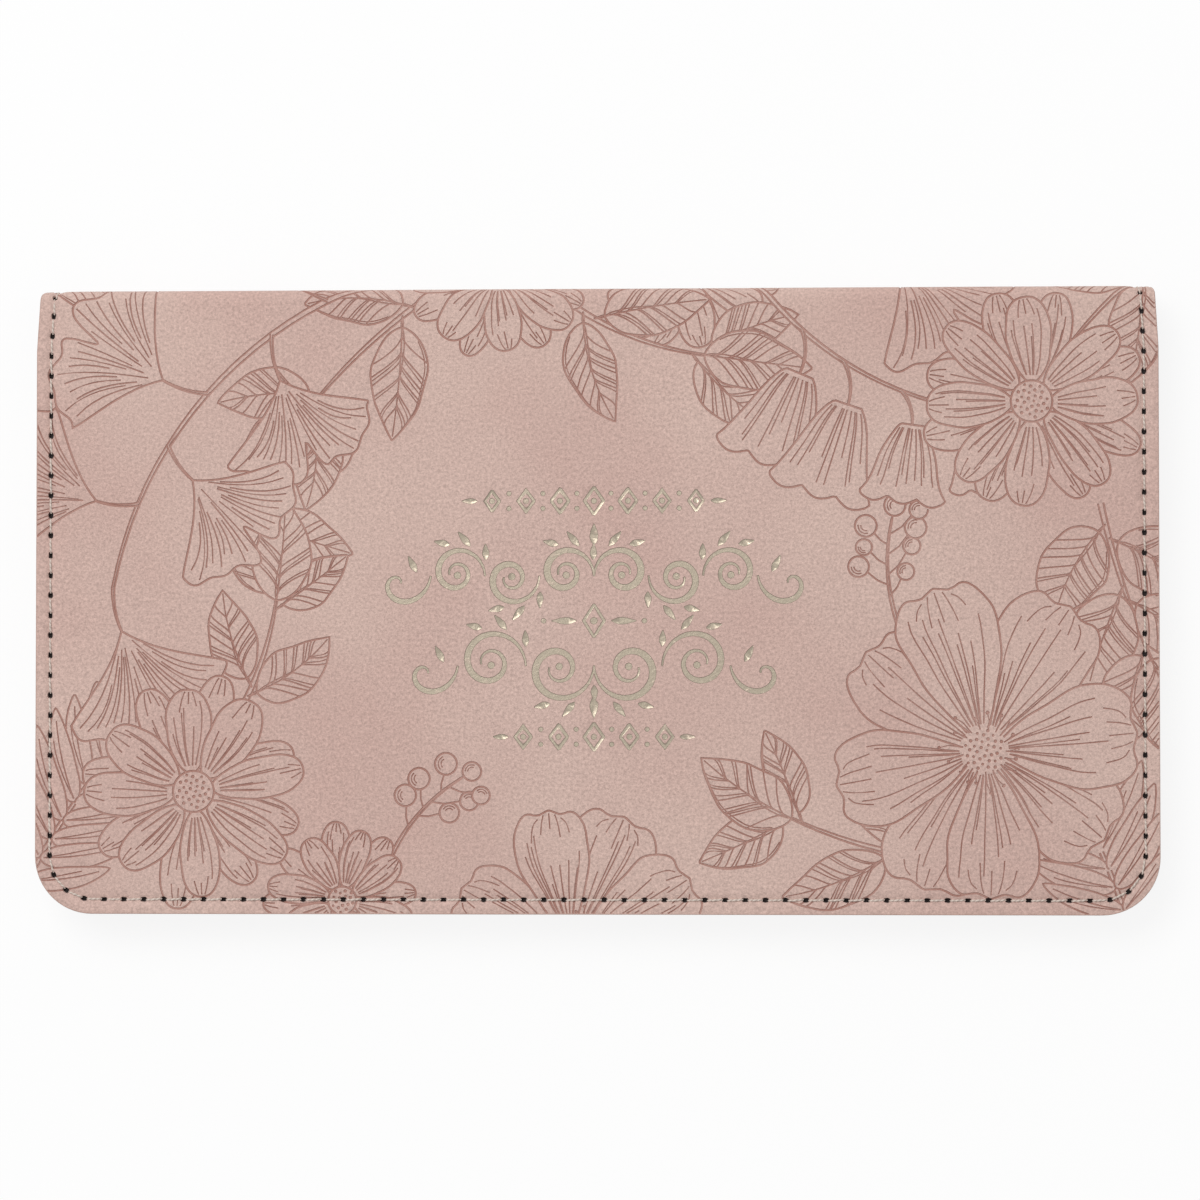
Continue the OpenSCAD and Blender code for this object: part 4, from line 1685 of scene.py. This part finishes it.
def lining_half(name, front):
    """One half of the lining, which turns up into the fold."""
    ring = half_ring(LINING_REACH, LINING_FLAT, taper=0.95)
    draft = Draft()
    holes = NeedleHoles(SEAM, HOLES[(HOLE_S > POCKET_H) & (HOLE_S < LINING_FLAT - 0.5)])
    draft.rings(holes.rings())
    for off in (-0.7, -0.3, 0.3, 0.7, 1.6):
        for side in (-1, 1):
            x = side * (HALF_W - 0.45 - SEAM_INSET - off)
            draft.line(np.array([(x, s) for s in np.arange(POCKET_H - 3, LINING_FLAT, 1.2)]))
    bends = bend_rows(LINING_FLAT, LINING_R, 0.5)
    draft.across(bends, HALF_W + 1, 64)
    draft.net(np.arange(-77, 78, 2.8), np.arange(3.5, LINING_FLAT - 1, 2.9))

    def relief(points):
        pits, dark = holes.depth(points, fall=0.22)
        gap = seam_gap(points)
        free = np.clip((points[:, 1] - POCKET_H) / 2, 0, 1) * np.clip((LINING_FLAT - points[:, 1]) / 2, 0, 1)
        dent = dip(gap, free * 0.1, 0.6)
        soft = 0.05 * free * (np.sin(points[:, 0] / 5.3) * np.sin(points[:, 1] / 3.1) + 1)
        return np.minimum(pits + dent + soft, LINING_T - 0.08), {"needle_hole_shade": dark}

    piece, flat, deep = sheet_piece(name, ring, draft, LINING_T, relief, lay_lining(front), bends[1:],
                                    0.12, THIN_RIM)
    paint(piece, "flat_place", np.column_stack([flat, -deep]) * MM)
    return finish_piece(piece, CLOTH)


back_lining = lining_half("back_lining_cloth", False)
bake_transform(back_lining)
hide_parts("back_lining", "spine_lining")

front_lining = lining_half("front_lining_cloth", True)
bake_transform(front_lining)
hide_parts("front_lining")


def pocket(name, front):
    """A pocket panel with a sewn hem at its mouth, over its turned-under edges."""
    ring = half_ring(POCKET_H, mouth=True)
    draft = Draft()
    seam_holes = NeedleHoles(SEAM, HOLES[HOLE_S < POCKET_H - 0.6])
    hem_holes = NeedleHoles(HEM_LINE, HEM_HOLES)
    draft.rings(seam_holes.rings() + hem_holes.rings())
    for off in (-1.15, -0.62, -0.3, 0.3, 0.62, 1.1):
        draft.line(seam_line(POCKET_H, SEAM_INSET + off, 1.1))
        draft.line(np.array([(x, HEM + off) for x in np.arange(-79, 79.1, 1.2)]))
    for fall in (0.5, 1.0):
        draft.line(np.array([(x, POCKET_H - fall) for x in np.arange(-81.5, 81.6, 1.6)]))
    draft.net(np.arange(-76, 77, 2.8), np.arange(5.5, HEM - 2, 2.8))

    def relief(points):
        x, s = points.T
        gap = seam_gap(points)
        seam_pits, seam_dark = seam_holes.depth(points, fall=0.4)
        hem_pits, hem_dark = hem_holes.depth(points, fall=0.4)
        base, _ = ring.place(points, 0.25)
        rim = np.hypot(*(points - base).T)
        crown = rounding(rim, 0.15, 1.3)
        valley = dip(gap, 0.16, 0.6)
        hem = np.where(np.abs(x) < HEM_HALF + 0.4, dip(s - HEM, 0.14, 0.55), 0)
        wave = 0.05 * (np.sin(x / 11.0 + 1) * np.sin(s / 9.0) + 1)
        depth = crown + valley + hem + wave + seam_pits + hem_pits
        return np.minimum(depth, POCKET_T - 0.07), {"needle_hole_shade": np.maximum(seam_dark, hem_dark)}

    # The turned-under edge follows the outline round three sides
    x0 = HALF_W - TURNED_W
    outer = ring.points
    mouth = outer[:, 1] > POCKET_H - 1e-6
    start = int(np.flatnonzero(mouth)[-1])
    edge = np.roll(outer, -start, 0)[:len(outer) - int(mouth.sum()) + 2]
    turned = np.concatenate([edge, [(x0, POCKET_H), (x0, TURNED_W), (-x0, TURNED_W), (-x0, POCKET_H)]])
    low, high = TURNED_TOP - POCKET_T, TURNED_TOP
    if front:
        low, high = CLOSED_T - high, CLOSED_T - low
    under = slab(turned, low, high)
    lay = lay_level(HALF_T, front)
    piece, flat, deep = sheet_piece(name, ring, draft, POCKET_T, relief, lay, extra=under)
    place = np.column_stack([flat, -deep])
    rest = np.column_stack([under[0][:, 0], under[0][:, 1] - FREE_Y, under[0][:, 2]])
    paint(piece, "flat_place", np.concatenate([place, rest]) * MM)
    return finish_piece(piece, POCKET)


def hem_stitches(name, front):
    """The row that holds the hem at the mouth of a pocket."""
    place, up = ways_out(lay_level(HALF_T, front), along_line(HEM_LINE, HEM_HOLES), 0.12)
    return thread_piece(name, [sew(place, up, ROW_HOLES - 1, 21)])


def inner_stitches(name, front):
    """The rim seam as it shows inside: on the pocket, over its mouth, and on the lining."""
    def on_pocket(at):
        return ways_out(lay_level(HALF_T, front), along_line(SEAM, at), 0.14)

    def on_lining(at):
        return ways_out(lay_lining(front), along_line(SEAM, at), 0.05)

    low = HOLES[HOLE_S < POCKET_H - 0.6]
    high = HOLES[(HOLE_S > POCKET_H - 0.6) & (HOLE_S < LINING_FLAT)]
    place, up = on_pocket(np.linspace(low[0], low[-1], 800))
    rows = [sew(place, up, len(low) - 1, 5)]
    for group, last in ((high[high < low[0]], low[0]), (high[high > low[-1]], low[-1])):
        place, up = on_lining(group)
        rows.append(sew(place, up, len(group) - 1, 6))
        near = group[np.abs(group - last).argmin()]
        start, up = on_lining(np.array([near]))
        end, _ = on_pocket(np.array([last]))
        rows.append(sew(np.concatenate([start, end]), np.concatenate([up, up]), 1, 7, lift=0.7))
    return thread_piece(name, rows)


for half, front in (("back", False), ("front", True)):
    body = half + "_cover"
    panel = pocket(half + "_pocket_panel", front)
    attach(panel, body)
    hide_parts(half + "_pocket")
    hem = hem_stitches(half + "_hem_stitches", front)
    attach(hem, body)
    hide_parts(half + "_hem_thread")
    inner = inner_stitches(half + "_inner_stitches", front)
    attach(inner, body)


# Clear divider

SHEET_BEND_R = 0.6 + SHEET_T / 2
SHEET_FLAT = 89.775
SHEET_REACH = SHEET_FLAT + SHEET_BEND_R * PI / 2 + 1.225


def clear_sheet():
    """One sheet of clear vinyl that lies between the halves and turns down along the fold."""
    ring = half_ring(SHEET_REACH, SHEET_FLAT, HALF_W - SHEET_SIDE, SHEET_END, SHEET_CORNER_R, taper=0)
    draft = Draft()
    bends = bend_rows(SHEET_FLAT, SHEET_BEND_R, 0.6)
    draft.across(bends, HALF_W, 64)
    draft.net(np.arange(-76, 77, 4), np.arange(9, SHEET_FLAT - 1, 4))

    def relief(points):
        return np.zeros(len(points)), {}

    lay = lay_bend(SHEET_FLAT, CLOSED_T / 2 + 0.6, SHEET_BEND_R, -1, True)
    piece, flat, deep = sheet_piece("divider_sheet", ring, draft, SHEET_T, relief, lay, bends[1:], 0.12,
                                    THIN_RIM)
    paint(piece, "flat_place", np.column_stack([flat, -deep]) * MM)
    return finish_piece(piece, VINYL)


divider = clear_sheet()
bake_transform(divider)
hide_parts("clear_divider", "divider_flange")

ROW_Y, ROW_Z = 44.25, 3.025
ROW = np.array([(x, ROW_Y, ROW_Z) for x in np.linspace(-HEM_HALF, HEM_HALF, ROW_HOLES)])
ROW_OUT = np.tile((0.0, -1.0, 0.0), (ROW_HOLES, 1))
divider_row = thread_piece("divider_stitches", [sew(ROW, ROW_OUT, ROW_HOLES - 1, 31, arch=0.16)])
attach(divider_row, "spine")
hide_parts("divider_thread")
